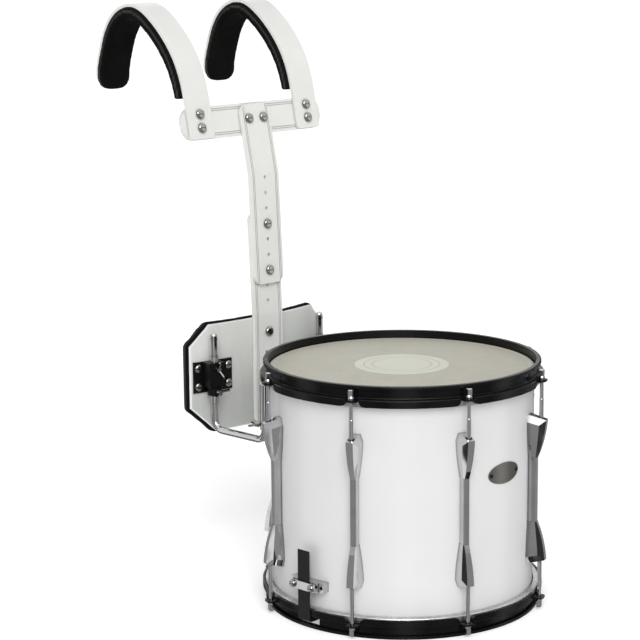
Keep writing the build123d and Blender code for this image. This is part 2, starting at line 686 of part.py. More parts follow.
# --- Throw-off ----------------------------------------------------------------------------------------------
BASE_HALF_WIDTH = 18.0
BASE_BOTTOM = 48.0
BASE_TOP = 130.0
BASE_FRONT_X = SHELL_R + 5.0
CHEEK = 3.0
CHEEK_FRONT_X = 201.0
CHEEK_BOTTOM = 60.0
CARRIAGE_GAP = 0.3
CARRIAGE_HALF_WIDTH = BASE_HALF_WIDTH - CHEEK - CARRIAGE_GAP
CARRIAGE_BOTTOM = 66.0
CARRIAGE_TOP = 92.0
CARRIAGE_DROP = 4.0
PIVOT_R = 3.0
HUB_R = 7.0
KNOB_X = 187.4
KNOB_SHANK_R = 1.6
KNOB_R = 3.8

with BuildPart() as throw_off_base:
    with BuildSketch(Plane.XY.offset(BASE_BOTTOM)):
        with Locations(((SHELL_R - 4 + BASE_FRONT_X) / 2, 0)):
            Rectangle(BASE_FRONT_X - SHELL_R + 4, 2 * BASE_HALF_WIDTH)
        Circle(SHELL_R, mode=Mode.SUBTRACT)
    extrude(amount=BASE_TOP - BASE_BOTTOM)
    with BuildSketch(Plane.XZ) as cheek_side:
        with Locations(((BASE_FRONT_X + CHEEK_FRONT_X) / 2 - 1, (CHEEK_BOTTOM + BASE_TOP - 8) / 2)):
            RectangleRounded(CHEEK_FRONT_X - BASE_FRONT_X + 2, BASE_TOP - 8 - CHEEK_BOTTOM, 5)
        with Locations((LEVER_AXIS_X, LEVER_AXIS_Z)):
            Circle(PIVOT_R + RUNNING_CLEARANCE, mode=Mode.SUBTRACT)
    extrude(amount=BASE_HALF_WIDTH, both=True)
    with BuildSketch(Plane.XZ):
        with Locations((BASE_FRONT_X + 20, MID_HEIGHT)):
            Rectangle(40, DRUM_HEIGHT)
    extrude(amount=BASE_HALF_WIDTH - CHEEK, both=True, mode=Mode.SUBTRACT)
    with BuildSketch(Plane.XY.offset(BASE_BOTTOM)):
        with Locations(((BASE_FRONT_X + KNOB_X + 3.4) / 2, 0)):
            Rectangle(KNOB_X + 3.4 - BASE_FRONT_X, 16)
        with Locations((KNOB_X, 0)):
            Circle(KNOB_SHANK_R + RUNNING_CLEARANCE, mode=Mode.SUBTRACT)
    extrude(amount=4)
    for angle, height in THROW_OFF_SCREWS:
        with BuildSketch(radial_plane(angle, SHELL_R - 2, height)):
            Circle(LUG_SCREW_R)
        extrude(amount=14, mode=Mode.SUBTRACT)
throw_off_base.part.label = "throw_off_base"
export_step(throw_off_base.part, "parts/throw_off_base.step")

LEVER_TIP_Z = 168.0
with BuildPart() as throw_off_lever:
    with BuildSketch(Plane.XZ):
        with Locations((LEVER_AXIS_X, LEVER_AXIS_Z)):
            Circle(HUB_R)
        with BuildLine():
            Polyline(
                (LEVER_AXIS_X, LEVER_AXIS_Z),
                (LEVER_AXIS_X + HUB_R, LEVER_AXIS_Z),
                (LEVER_AXIS_X + HUB_R + 1, LEVER_AXIS_Z + 30),
                (LEVER_AXIS_X + HUB_R + 8, LEVER_TIP_Z),
                (LEVER_AXIS_X + HUB_R + 4.5, LEVER_TIP_Z),
                (LEVER_AXIS_X + HUB_R - 2.5, LEVER_AXIS_Z + 30),
                close=True,
            )
        make_face()
    extrude(amount=CARRIAGE_HALF_WIDTH, both=True)
    with BuildSketch(Plane.XZ):
        with Locations((LEVER_AXIS_X, LEVER_AXIS_Z)):
            Circle(PIVOT_R)
    extrude(amount=BASE_HALF_WIDTH + 1.5, both=True)
    tip_edges = throw_off_lever.edges().filter_by(
        lambda e: e.center().Z > LEVER_TIP_Z - 1 and abs(e.center().Y) > CARRIAGE_HALF_WIDTH - 1)
    fillet(tip_edges, radius=7)
throw_off_lever.part.label = "throw_off_lever"
export_step(throw_off_lever.part, "parts/throw_off_lever.step")

with BuildPart() as throw_off_carriage:
    with BuildSketch(Plane.XY.offset(CARRIAGE_BOTTOM)):
        with Locations(((BASE_FRONT_X + CARRIAGE_GAP + STRAP_INNER_R) / 2, 0)):
            Rectangle(STRAP_INNER_R - BASE_FRONT_X - CARRIAGE_GAP, 2 * CARRIAGE_HALF_WIDTH)
    extrude(amount=CARRIAGE_TOP - CARRIAGE_BOTTOM)
    with BuildSketch(Plane.XY.offset(CARRIAGE_BOTTOM - 1)):
        with Locations((KNOB_X, 0)):
            Circle(KNOB_SHANK_R + RUNNING_CLEARANCE)
    extrude(amount=16, mode=Mode.SUBTRACT)
    with BuildSketch(radial_plane(0, STRAP_OUTER_R, (CARRIAGE_BOTTOM + CARRIAGE_TOP) / 2)):
        Rectangle(2 * CARRIAGE_HALF_WIDTH, 12)
    extrude(amount=3)
    for side in (-1, 1):
        with BuildSketch(Plane.XZ.offset(side * 12.6)):
            with Locations((STRAP_R, (CARRIAGE_BOTTOM + CARRIAGE_TOP) / 2)):
                Rectangle(STRAP + 0.4, 10)
        extrude(amount=1.6, both=True)
throw_off_carriage.part.label = "throw_off_carriage"
export_step(throw_off_carriage.part, "parts/throw_off_carriage.step")

with BuildPart() as throw_off_knob:
    with BuildSketch(Plane.XY.offset(BASE_BOTTOM - 8.3)) as knob_section:
        with Locations((KNOB_X, 0)):
            Circle(KNOB_R)
        with Locations((KNOB_X, 0)):
            with PolarLocations(KNOB_R, 12):
                Circle(0.45, mode=Mode.SUBTRACT)
    extrude(amount=8.0)
    with BuildSketch(Plane.XY.offset(BASE_BOTTOM - 1)):
        with Locations((KNOB_X, 0)):
            Circle(KNOB_SHANK_R)
    extrude(amount=CARRIAGE_BOTTOM - BASE_BOTTOM + 6)
throw_off_knob.part.label = "throw_off_knob"
export_step(throw_off_knob.part, "parts/throw_off_knob.step")

# --- Sockets on the drum for the carrier's hooks ------------------------------------------------------------
SOCKET_WALL_R = 6.6
SOCKET_HALF_WIDTH = 6.4
SOCKET_WING_Z = 233.0

with BuildPart() as hook_sockets:
    for angle in (SOCKET_ANGLE, 180 - SOCKET_ANGLE):
        across = radial_plane(angle, 0, 0).x_dir
        outward = radial_plane(angle, 0, 0).z_dir
        level = Plane(origin=(0, 0, SOCKET_BOTTOM), x_dir=outward, z_dir=(0, 0, 1))
        with BuildSketch(level):
            with Locations((SOCKET_R, 0)):
                Circle(SOCKET_WALL_R)
            with Locations(((SHELL_R + SOCKET_R) / 2 - 1, 0)):
                Rectangle(SOCKET_R - SHELL_R + 2, 2 * SOCKET_HALF_WIDTH)
            with Locations((0, 0)):
                Circle(SHELL_R, mode=Mode.SUBTRACT)
        extrude(amount=SOCKET_TOP - SOCKET_BOTTOM)
        with BuildSketch(level.offset(-1)):
            with Locations((SOCKET_R, 0)):
                Circle(HOOK_ROD_R + RUNNING_CLEARANCE)
        extrude(amount=HOOK_LEG_TOP_Z - SOCKET_BOTTOM + 3, mode=Mode.SUBTRACT)
        with BuildSketch(radial_plane(angle, SOCKET_R, SOCKET_WING_Z)):
            Circle(LUG_SCREW_R + RUNNING_CLEARANCE)
        extrude(amount=12, mode=Mode.SUBTRACT)
    for angle, height in SOCKET_SCREWS:
        with BuildSketch(radial_plane(angle, SHELL_R - 2, height)):
            Circle(LUG_SCREW_R)
        extrude(amount=10, mode=Mode.SUBTRACT)
hook_sockets.part.label = "hook_sockets"
export_step(hook_sockets.part, "parts/hook_sockets.step")

socket_wing = wing_screw(SOCKET_WALL_R - HOOK_ROD_R - CLEAR_GAP + 1.5)
for side, angle in (("right", 180 - SOCKET_ANGLE), ("left", SOCKET_ANGLE)):
    face = radial_plane(angle, SOCKET_R + SOCKET_WALL_R + 1.5, SOCKET_WING_Z)
    with BuildPart() as socket_wing_screw:
        add(socket_wing.moved(face.location))
    socket_wing_screw.part.label = f"socket_wing_screw_{side}"
    export_step(socket_wing_screw.part, f"parts/socket_wing_screw_{side}.step")

# Screws that hold the butt plate, the throw-off and the sockets, with their heads inside the shell,
# and the two slotted screws of the butt clamp.
fitting_screw = slotted_bolt(SHELL_WALL + 5.5, 4.4, LUG_SCREW_R, with_nut=False)
clamp_screw = slotted_bolt(3.0 + STRAP + 7.5, 4.8, LUG_SCREW_R, with_nut=False)

with BuildPart() as fitting_screws:
    for angle, height in FITTING_SCREWS:
        add(fitting_screw.moved(inside_plane(angle, height).location))
    for sideways in (-CLAMP_BOLT_Y, CLAMP_BOLT_Y):
        face = radial_plane(180, STRAP_OUTER_R + 3.0, CLAMP_HEIGHT)
        spot = Plane(origin=face.origin + face.x_dir * sideways, x_dir=face.x_dir, z_dir=face.z_dir)
        add(clamp_screw.moved(spot.location))
fitting_screws.part.label = "fitting_screws"
export_step(fitting_screws.part, "parts/fitting_screws.step")

# --- Carrier: hooked rods and their brackets ------------------------------------------------------------------
TIP_RING_Z = 338.0
TIP_RING_R = 5.6

with BuildPart() as hook_rods:
    for side in (-1, 1):
        x = side * HOOK_X
        with BuildLine():
            FilletPolyline(
                (x, HOOK_BACK_Y, HOOK_TIP_Z - 5),
                (x, HOOK_BACK_Y, HOOK_RUN_Z),
                (x, HOOK_FRONT_Y, HOOK_RUN_Z),
                (x, HOOK_FRONT_Y, HOOK_LEG_TOP_Z),
                radius=HOOK_BEND_R,
            )
        with BuildSketch(Plane(origin=(x, HOOK_BACK_Y, HOOK_TIP_Z - 5), z_dir=(0, 0, -1))):
            Circle(HOOK_ROD_R)
        sweep()
        with BuildSketch(Plane.XZ.offset(-HOOK_BACK_Y)):
            with BuildLine():
                Line((x, HOOK_TIP_Z - 5), (x, HOOK_TIP_Z))
                ThreePointArc((x, HOOK_TIP_Z), (x + 3.7, HOOK_TIP_Z - 1.7), (x + HOOK_ROD_R, HOOK_TIP_Z - 5))
                Line((x + HOOK_ROD_R, HOOK_TIP_Z - 5), (x, HOOK_TIP_Z - 5))
            make_face()
        revolve(axis=Axis((x, HOOK_BACK_Y, 0), (0, 0, 1)))
        with BuildSketch(Plane.XY.offset(TIP_RING_Z)):
            with Locations((x, HOOK_BACK_Y)):
                Circle(TIP_RING_R)
        extrude(amount=2.0)
hook_rods.part.label = "hook_rods"
export_step(hook_rods.part, "parts/hook_rods.step")

HOOK_STANDOFF = hypot(HOOK_X, PLATE_AXIS_Y - HOOK_BACK_Y) - PLATE_R
HOOK_TILT = degrees(asin(HOOK_X / hypot(HOOK_X, PLATE_AXIS_Y - HOOK_BACK_Y)))
CHANNEL_HALF_WIDTH = 12.2
CHANNEL_FRONT = 21.5
FLANGE = 2.5
FLANGE_OUTER = 26.5
FLANGE_INNER = 37.0
BRACKET_SCREW_OUTER = -19.0
BRACKET_SCREW_INNER = 30.0
BRACKET_SCREW_HEIGHTS = (271.0, 297.0)
BRACKET_WING_Z = 297.0
COLLAR_BOTTOM = 259.5
COLLAR_TOP_Z = CHANNEL_BOTTOM - 0.2
COLLAR_R = 10.0
COLLAR_FRONT = 24.0


def plate_plane(side, along, standoff, height):
    """A plane facing out of the belly plate, along from the rod's foot towards the middle."""
    turn = HOOK_TILT - degrees(along / PLATE_R)
    outward = Vector(side * sin(radians(turn)), -cos(radians(turn)), 0)
    origin = Vector(0, PLATE_AXIS_Y, height) + outward * (PLATE_R + standoff)
    inward = Vector(-side * cos(radians(turn)), -sin(radians(turn)), 0)
    return Plane(origin=origin, x_dir=inward, z_dir=outward)


def ring_point(side, along, standoff):
    """X and Y of a point beside the belly plate, along from the rod's foot."""
    origin = plate_plane(side, along, standoff, 0).origin
    return origin.X, origin.Y


with BuildPart() as rod_brackets:
    for side in (-1, 1):
        with BuildSketch(Plane.XY.offset(BRACKET_BOTTOM)):
            with BuildLine():
                Line(ring_point(side, -FLANGE_OUTER, 0), ring_point(side, -FLANGE_OUTER, FLANGE))
                ThreePointArc(
                    ring_point(side, -FLANGE_OUTER, FLANGE),
                    ring_point(side, 0, FLANGE),
                    ring_point(side, FLANGE_INNER, FLANGE),
                )
                Line(ring_point(side, FLANGE_INNER, FLANGE), ring_point(side, FLANGE_INNER, 0))
                ThreePointArc(
                    ring_point(side, FLANGE_INNER, 0),
                    ring_point(side, 0, 0),
                    ring_point(side, -FLANGE_OUTER, 0),
                )
            make_face()
        extrude(amount=BRACKET_TOP - BRACKET_BOTTOM, dir=(0, 0, 1))
        with BuildSketch(plate_plane(side, 0, 1.0, (CHANNEL_BOTTOM + BRACKET_TOP) / 2)):
            Rectangle(2 * CHANNEL_HALF_WIDTH, BRACKET_TOP - CHANNEL_BOTTOM)
        extrude(amount=CHANNEL_FRONT - 1.0)
        with BuildSketch(Plane.XY.offset(BRACKET_BOTTOM)):
            with Locations((side * HOOK_X, HOOK_BACK_Y)):
                Circle(GUIDE_R)
        extrude(amount=BRACKET_TOP - BRACKET_BOTTOM, mode=Mode.SUBTRACT)
        with BuildSketch(plate_plane(side, 0, HOOK_STANDOFF, BRACKET_WING_Z)):
            Circle(LUG_SCREW_R + RUNNING_CLEARANCE)
        extrude(amount=20, mode=Mode.SUBTRACT)
        for along in (BRACKET_SCREW_OUTER, BRACKET_SCREW_INNER):
            for height in BRACKET_SCREW_HEIGHTS:
                with BuildSketch(plate_plane(side, along, FLANGE + 1, height)):
                    Circle(BOLT_R)
                extrude(amount=-FLANGE - 2, mode=Mode.SUBTRACT)
rod_brackets.part.label = "rod_brackets"
export_step(rod_brackets.part, "parts/rod_brackets.step")

with BuildPart() as rod_guides:
    for side in (-1, 1):
        with BuildSketch(Plane.XY.offset(GUIDE_BOTTOM)):
            with Locations((side * HOOK_X, HOOK_BACK_Y)):
                Circle(GUIDE_R)
                Circle(HOOK_ROD_R + RUNNING_CLEARANCE, mode=Mode.SUBTRACT)
        extrude(amount=GUIDE_TOP - GUIDE_BOTTOM)
        for height in (BRACKET_WING_Z, (COLLAR_BOTTOM + COLLAR_TOP_Z) / 2):
            with BuildSketch(plate_plane(side, 0, HOOK_STANDOFF, height)):
                Circle(LUG_SCREW_R + RUNNING_CLEARANCE)
            extrude(amount=8, mode=Mode.SUBTRACT)
rod_guides.part.label = "rod_guides"
export_step(rod_guides.part, "parts/rod_guides.step")

with BuildPart() as guide_collars:
    for side in (-1, 1):
        with BuildSketch(Plane.XY.offset(COLLAR_BOTTOM)):
            with Locations((side * HOOK_X, HOOK_BACK_Y)):
                Circle(COLLAR_R)
                Circle(GUIDE_R, mode=Mode.SUBTRACT)
        extrude(amount=COLLAR_TOP_Z - COLLAR_BOTTOM)
        front = plate_plane(side, 0, HOOK_STANDOFF + 7.0, (COLLAR_BOTTOM + COLLAR_TOP_Z) / 2)
        with BuildSketch(front):
            Rectangle(12, COLLAR_TOP_Z - COLLAR_BOTTOM)
        extrude(amount=COLLAR_FRONT - HOOK_STANDOFF - 7.0)
        with BuildSketch(front.offset(-3)):
            Circle(LUG_SCREW_R + RUNNING_CLEARANCE)
        extrude(amount=20, mode=Mode.SUBTRACT)
guide_collars.part.label = "guide_collars"
export_step(guide_collars.part, "parts/guide_collars.step")

bracket_wing = wing_screw(CHANNEL_FRONT - HOOK_STANDOFF - HOOK_ROD_R - CLEAR_GAP)
collar_wing = wing_screw(COLLAR_FRONT - HOOK_STANDOFF - HOOK_ROD_R - CLEAR_GAP)
WING_ROWS = (
    ("bracket", bracket_wing, CHANNEL_FRONT, BRACKET_WING_Z, 74.0),
    ("collar", collar_wing, COLLAR_FRONT, (COLLAR_BOTTOM + COLLAR_TOP_Z) / 2, -20.0),
)
for row, wing, standoff, height, turn in WING_ROWS:
    for name, side in (("right", -1), ("left", 1)):
        face = plate_plane(side, 0, standoff, height)
        spot = face.location * Location((0, 0, 0), (0, 0, side * turn))
        with BuildPart() as rod_wing_screw:
            add(wing.moved(spot))
        rod_wing_screw.part.label = f"{row}_wing_screw_{name}"
        export_step(rod_wing_screw.part, f"parts/{row}_wing_screw_{name}.step")

# --- Carrier: belly plate and pad -------------------------------------------------------------------------------
PLATE_BOLT_HEIGHTS = (228.0, 334.7)


def octagon(grow):
    """The outline of the belly plate in the XZ plane, grown on all sides."""
    half = PLATE_HALF_WIDTH + grow
    low = PLATE_BOTTOM - grow
    high = PLATE_TOP + grow
    top_x = half - PLATE_TOP_CORNER[0] - grow * 0.4
    top_z = high - PLATE_TOP_CORNER[1] - grow * 0.4
    low_x = half - PLATE_LOW_CORNER[0] - grow * 0.4
    low_z = low + PLATE_LOW_CORNER[1] + grow * 0.4
    Polyline(
        (-low_x, low), (low_x, low), (half, low_z), (half, top_z),
        (top_x, high), (-top_x, high), (-half, top_z), (-half, low_z),
        close=True,
    )


with BuildPart() as belly_plate:
    with BuildSketch(Plane.XY.offset(PLATE_BOTTOM - 10)):
        with Locations((0, PLATE_AXIS_Y)):
            Circle(PLATE_R)
            Circle(PLATE_R - PLATE, mode=Mode.SUBTRACT)
    extrude(amount=PLATE_TOP - PLATE_BOTTOM + 20)
    with BuildSketch(Plane.XZ):
        with BuildLine():
            octagon(0)
        make_face()
    extrude(amount=-PLATE_AXIS_Y, mode=Mode.INTERSECT)
    for height in PLATE_BOLT_HEIGHTS:
        with BuildSketch(Plane.XZ.offset(-PLATE_FRONT_Y + 1)):
            with Locations((0, height)):
                Circle(BOLT_R)
        extrude(amount=-8, mode=Mode.SUBTRACT)
    for side in (-1, 1):
        for along in (BRACKET_SCREW_OUTER, BRACKET_SCREW_INNER):
            for height in BRACKET_SCREW_HEIGHTS:
                with BuildSketch(plate_plane(side, along, 1, height)):
                    Circle(BOLT_R)
                extrude(amount=-PLATE - 3, mode=Mode.SUBTRACT)
belly_plate.part.label = "belly_plate"
export_step(belly_plate.part, "parts/belly_plate.step")

NUT_POCKET_R = 7.0
NUT_POCKET = 6.5

with BuildPart() as belly_pad:
    with BuildSketch(Plane.XY.offset(PLATE_BOTTOM - 10)):
        with Locations((0, PLATE_AXIS_Y)):
            Circle(PLATE_R - PLATE)
            Circle(PLATE_R - PLATE - PAD, mode=Mode.SUBTRACT)
    extrude(amount=PLATE_TOP - PLATE_BOTTOM + 20)
    with BuildSketch(Plane.XZ):
        with BuildLine():
            octagon(PAD_PROUD)
        make_face()
    extrude(amount=-PLATE_AXIS_Y, mode=Mode.INTERSECT)
    for height in PLATE_BOLT_HEIGHTS:
        with BuildSketch(Plane.XZ.offset(-PLATE_FRONT_Y)):
            with Locations((0, height)):
                Circle(NUT_POCKET_R)
        extrude(amount=-PLATE - NUT_POCKET, mode=Mode.SUBTRACT)
    for side in (-1, 1):
        for along in (BRACKET_SCREW_OUTER, BRACKET_SCREW_INNER):
            for height in BRACKET_SCREW_HEIGHTS:
                with BuildSketch(plate_plane(side, along, 0, height)):
                    Circle(NUT_POCKET_R)
                extrude(amount=-PLATE - NUT_POCKET, mode=Mode.SUBTRACT)
belly_pad.part.label = "belly_pad"
export_step(belly_pad.part, "parts/belly_pad.step")

# --- Carrier: the T bar -------------------------------------------------------------------------------------------
GROOVE = (1.2, 0.8)
GROOVE_OFFSETS = (20.6, 23.2)
BAR_HOLES = [HOLE_START_Z + HOLE_PITCH * number for number in range(9)]
LOWER_HOLES = BAR_HOLES[:6]
UPPER_HOLES = BAR_HOLES[2:]
BAR_BOLTS = (BAR_HOLES[2], BAR_HOLES[5])


def bar_hole_plane(height):
    """A plane on the lower bar's front face, at the axis of one of the adjusting holes."""
    return leaning_plane(lower_bar_front(height), height, LEAN)


def bar_section(front_points, depth):
    """The side section of a bar: its front points, and the same points moved straight back."""
    back_points = [(y + depth, z) for y, z in reversed(front_points)]
    with BuildSketch() as section:
        with BuildLine():
            Polyline(*front_points, *back_points, close=True)
        make_face()
    return section.sketch


LOWER_FRONT = [(lower_bar_front(z), z) for z in (PLATE_BOTTOM + 2, LOWER_BEND_Z, LOWER_TOP_Z)]
UPPER_FRONT = [(upper_bar_front(z), z) for z in (UPPER_BOTTOM_Z, UPPER_BEND_Z, UPPER_TOP_Z)]
BACK_STEP = BAR / cos(radians(LEAN))


with BuildPart() as lower_bar:
    with BuildSketch(Plane.YZ):
        add(bar_section(LOWER_FRONT, BAR))
    extrude(amount=BAR_WIDTH / 2, both=True)
    with BuildSketch(Plane.XZ) as lower_outline:
        with Locations((0, (PLATE_BOTTOM + 2 + LOWER_TOP_Z) / 2)):
            Rectangle(BAR_WIDTH, LOWER_TOP_Z - PLATE_BOTTOM - 2)
        chamfer(lower_outline.vertices().group_by(Axis.Y)[-1], length=9)
        fillet(lower_outline.vertices().group_by(Axis.Y)[0], radius=8)
    extrude(amount=-400, mode=Mode.INTERSECT)
    for x in GROOVE_OFFSETS:
        for side in (-1, 1):
            with BuildSketch(Plane.YZ.offset(side * x)):
                add(bar_section(LOWER_FRONT, GROOVE[1]))
            extrude(amount=GROOVE[0] / 2, both=True, mode=Mode.SUBTRACT)
    for height in PLATE_BOLT_HEIGHTS:
        with BuildSketch(Plane.XZ.offset(-PLATE_FRONT_Y + BAR + 1)):
            with Locations((0, height)):
                Circle(BOLT_R)
        extrude(amount=-BAR - 2, mode=Mode.SUBTRACT)
    for height in LOWER_HOLES:
        with BuildSketch(bar_hole_plane(height).offset(1)):
            Circle(HOLE_R)
        extrude(amount=-BAR - 3, mode=Mode.SUBTRACT)
lower_bar.part.label = "lower_bar"
export_step(lower_bar.part, "parts/lower_bar.step")

YOKE_BOLT_X = 14.0
YOKE_BOLT_Z = 639.0


def yoke_bolt_plane(x):
    """A plane on the upper bar's front face, at one of the bolts through the crossbar."""
    return leaning_plane(upper_bar_front(YOKE_BOLT_Z), YOKE_BOLT_Z, YOKE_LEAN, x)


with BuildPart() as upper_bar:
    with BuildSketch(Plane.YZ):
        add(bar_section(UPPER_FRONT, BACK_STEP))
    extrude(amount=BAR_WIDTH / 2, both=True)
    with BuildSketch(Plane.XZ) as upper_outline:
        with Locations((0, (UPPER_BOTTOM_Z + UPPER_TOP_Z) / 2)):
            Rectangle(BAR_WIDTH, UPPER_TOP_Z - UPPER_BOTTOM_Z)
        fillet(upper_outline.vertices().group_by(Axis.Y)[-1], radius=16)
        fillet(upper_outline.vertices().group_by(Axis.Y)[0], radius=12)
    extrude(amount=-400, mode=Mode.INTERSECT)
    for x in GROOVE_OFFSETS:
        for side in (-1, 1):
            with BuildSketch(Plane.YZ.offset(side * x)):
                add(bar_section(UPPER_FRONT, GROOVE[1]))
            extrude(amount=GROOVE[0] / 2, both=True, mode=Mode.SUBTRACT)
    for height in UPPER_HOLES:
        with BuildSketch(bar_hole_plane(height).offset(BAR + 1)):
            Circle(HOLE_R)
        extrude(amount=-BAR - 3, mode=Mode.SUBTRACT)
    for x in (-YOKE_BOLT_X, YOKE_BOLT_X):
        with BuildSketch(yoke_bolt_plane(x).offset(1)):
            Circle(BOLT_R)
        extrude(amount=-BAR - 3, mode=Mode.SUBTRACT)
upper_bar.part.label = "upper_bar"
export_step(upper_bar.part, "parts/upper_bar.step")

YOKE_FRONT_Y = upper_bar_front(CROSSBAR_Z) + BACK_STEP
yoke = leaning_plane(YOKE_FRONT_Y, CROSSBAR_Z, YOKE_LEAN)
yoke_up = yoke.y_dir
yoke_out = yoke.z_dir
BAND_BOLT_Y = (-7.0, 12.0)

with BuildPart() as crossbar:
    with BuildSketch(yoke):
        RectangleRounded(CROSSBAR[0], CROSSBAR[1], CROSSBAR_CORNER)
    extrude(amount=-BAR)
    for offset in (15.6, 18.2):
        for side in (-1, 1):
            with BuildSketch(yoke):
                with Locations((0, side * offset)):
                    Rectangle(CROSSBAR[0] - CROSSBAR_CORNER - 8, GROOVE[0])
            extrude(amount=-GROOVE[1], mode=Mode.SUBTRACT)
    yoke_bolt_y = (yoke_bolt_plane(0).origin - yoke.origin).dot(yoke_up)
    with BuildSketch(yoke):
        with Locations((-YOKE_BOLT_X, yoke_bolt_y), (YOKE_BOLT_X, yoke_bolt_y)):
            Circle(BOLT_R)
        for y in BAND_BOLT_Y:
            with Locations((-BAND_X, y), (BAND_X, y)):
                Circle(BOLT_R)
    extrude(amount=-BAR, mode=Mode.SUBTRACT)
crossbar.part.label = "crossbar"
export_step(crossbar.part, "parts/crossbar.step")

# --- Carrier: shoulder bands and pads --------------------------------------------------------------------------------
# The band's middle line in the YZ plane runs flat on the crossbar, then up and over the shoulder.
band_foot = yoke.origin + yoke_out * (BAND / 2) - yoke_up * 22.0
band_knee = yoke.origin + yoke_out * (BAND / 2) + yoke_up * 26.0
BAND_SHOULDER = [(300.0, 717.0), (324.0, 752.0), (354.0, 780.0), (389.0, 797.0),
                 (424.0, 789.0), (451.0, 758.0), (465.0, 718.0), (468.0, 682.0)]


def curved_layer(curve, start, end, inner, outer, steps=22):
    """A layer beside a curve: a face between two offsets of it, over part of its length."""
    near = []
    far = []
    for step in range(steps + 1):
        at = start + (end - start) * step / steps
        point = curve.position_at(at)
        along = curve.tangent_at(at)
        beside = Vector(along.Y, -along.X, 0)
        near.append(point + beside * inner)
        far.append(point + beside * outer)
    with BuildSketch() as section:
        with BuildLine():
            Spline(*near)
            Line(near[-1], far[-1])
            Spline(*reversed(far))
            Line(far[0], near[0])
        make_face()
    return section.sketch


with BuildLine() as band_route:
    Spline(
        (band_knee.Y, band_knee.Z),
        *BAND_SHOULDER,
        tangents=[(yoke_up.Y, yoke_up.Z), (0.0, -1.0)],
    )
band_curve = band_route.edges()[0]

with BuildPart() as shoulder_bands:
    for side in (-1, 1):
        with BuildSketch(Plane.YZ.offset(side * BAND_X)):
            with BuildLine():
                Line((band_foot.Y, band_foot.Z), (band_knee.Y, band_knee.Z))
            trace(line_width=BAND)
            add(curved_layer(band_curve, 0.0, 1.0, -BAND / 2, BAND / 2))
        extrude(amount=BAND_WIDTH / 2, both=True)
    rear = shoulder_bands.edges().filter_by(
        lambda e: e.center().Z < 683 and e.center().Y > 440 and abs(e.length - BAND) < 0.3)
    fillet(rear, radius=17)
    foot_corners = shoulder_bands.edges().filter_by(
        lambda e: e.center().Z < 620 and e.center().Y < 300 and abs(e.length - BAND) < 0.3)
    fillet(foot_corners, radius=5)
    with BuildSketch(yoke.offset(BAND)):
        for y in BAND_BOLT_Y:
            with Locations((-BAND_X, y), (BAND_X, y)):
                Circle(BOLT_R)
    extrude(amount=-BAND, mode=Mode.SUBTRACT)
shoulder_bands.part.label = "shoulder_bands"
export_step(shoulder_bands.part, "parts/shoulder_bands.step")

with BuildPart() as shoulder_pads:
    for side in (-1, 1):
        with BuildSketch(Plane.YZ.offset(side * BAND_X)):
            add(curved_layer(band_curve, 0.03, 1.0, BAND / 2 + SEAT_GAP, BAND / 2 + BAND_PAD))
            with Locations((BAND_SHOULDER[-1][0] - BAND / 2 - (BAND_PAD + SEAT_GAP) / 2,
                            BAND_SHOULDER[-1][1] - BAND_PAD_OVERHANG / 2)):
                Rectangle(BAND_PAD - SEAT_GAP, BAND_PAD_OVERHANG)
        extrude(amount=BAND_PAD_WIDTH / 2, both=True)
    fillet(shoulder_pads.edges().filter_by(
        lambda e: e.center().Z < 678 and e.center().Y > 430 and abs(e.length - BAND_PAD) < 0.5),
        radius=20)
shoulder_pads.part.label = "shoulder_pads"
export_step(shoulder_pads.part, "parts/shoulder_pads.step")

# --- Carrier: bolts with their nuts -----------------------------------------------------------------------------------
bar_bolt = slotted_bolt(2 * BAR, BOLT_HEAD_R, BOLT_R, with_nut=True)
yoke_bolt = slotted_bolt(BACK_STEP * cos(radians(YOKE_LEAN)) + BAR, BOLT_HEAD_R, BOLT_R, with_nut=True)
band_bolt = slotted_bolt(BAR + BAND, BOLT_HEAD_R, BOLT_R, with_nut=True)
plate_bolt = slotted_bolt(BAR + PLATE, BOLT_HEAD_R, BOLT_R, with_nut=True)
bracket_bolt = slotted_bolt(FLANGE + PLATE, BRACKET_BOLT_HEAD_R, BOLT_R, with_nut=True)

with BuildPart() as carrier_bolts:
    for height in BAR_BOLTS:
        add(bar_bolt.moved(bar_hole_plane(height).offset(BAR).location))
    for x in (-YOKE_BOLT_X, YOKE_BOLT_X):
        add(yoke_bolt.moved(yoke_bolt_plane(x).location))
    for x in (-BAND_X, BAND_X):
        for y in BAND_BOLT_Y:
            spot = Plane(origin=yoke.offset(BAND).origin + Vector(x, 0, 0) + yoke_up * y,
                         x_dir=(1, 0, 0), z_dir=yoke_out)
            add(band_bolt.moved(spot.location))
    for height in PLATE_BOLT_HEIGHTS:
        add(plate_bolt.moved(leaning_plane(PLATE_FRONT_Y - BAR, height, 0).location))
    for side in (-1, 1):
        for along in (BRACKET_SCREW_OUTER, BRACKET_SCREW_INNER):
            for height in BRACKET_SCREW_HEIGHTS:
                add(bracket_bolt.moved(plate_plane(side, along, FLANGE, height).location))
carrier_bolts.part.label = "carrier_bolts"
export_step(carrier_bolts.part, "parts/carrier_bolts.step")
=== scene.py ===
import math

import bmesh
import bpy
from mathutils import Matrix, Vector
from mathutils.bvhtree import BVHTree


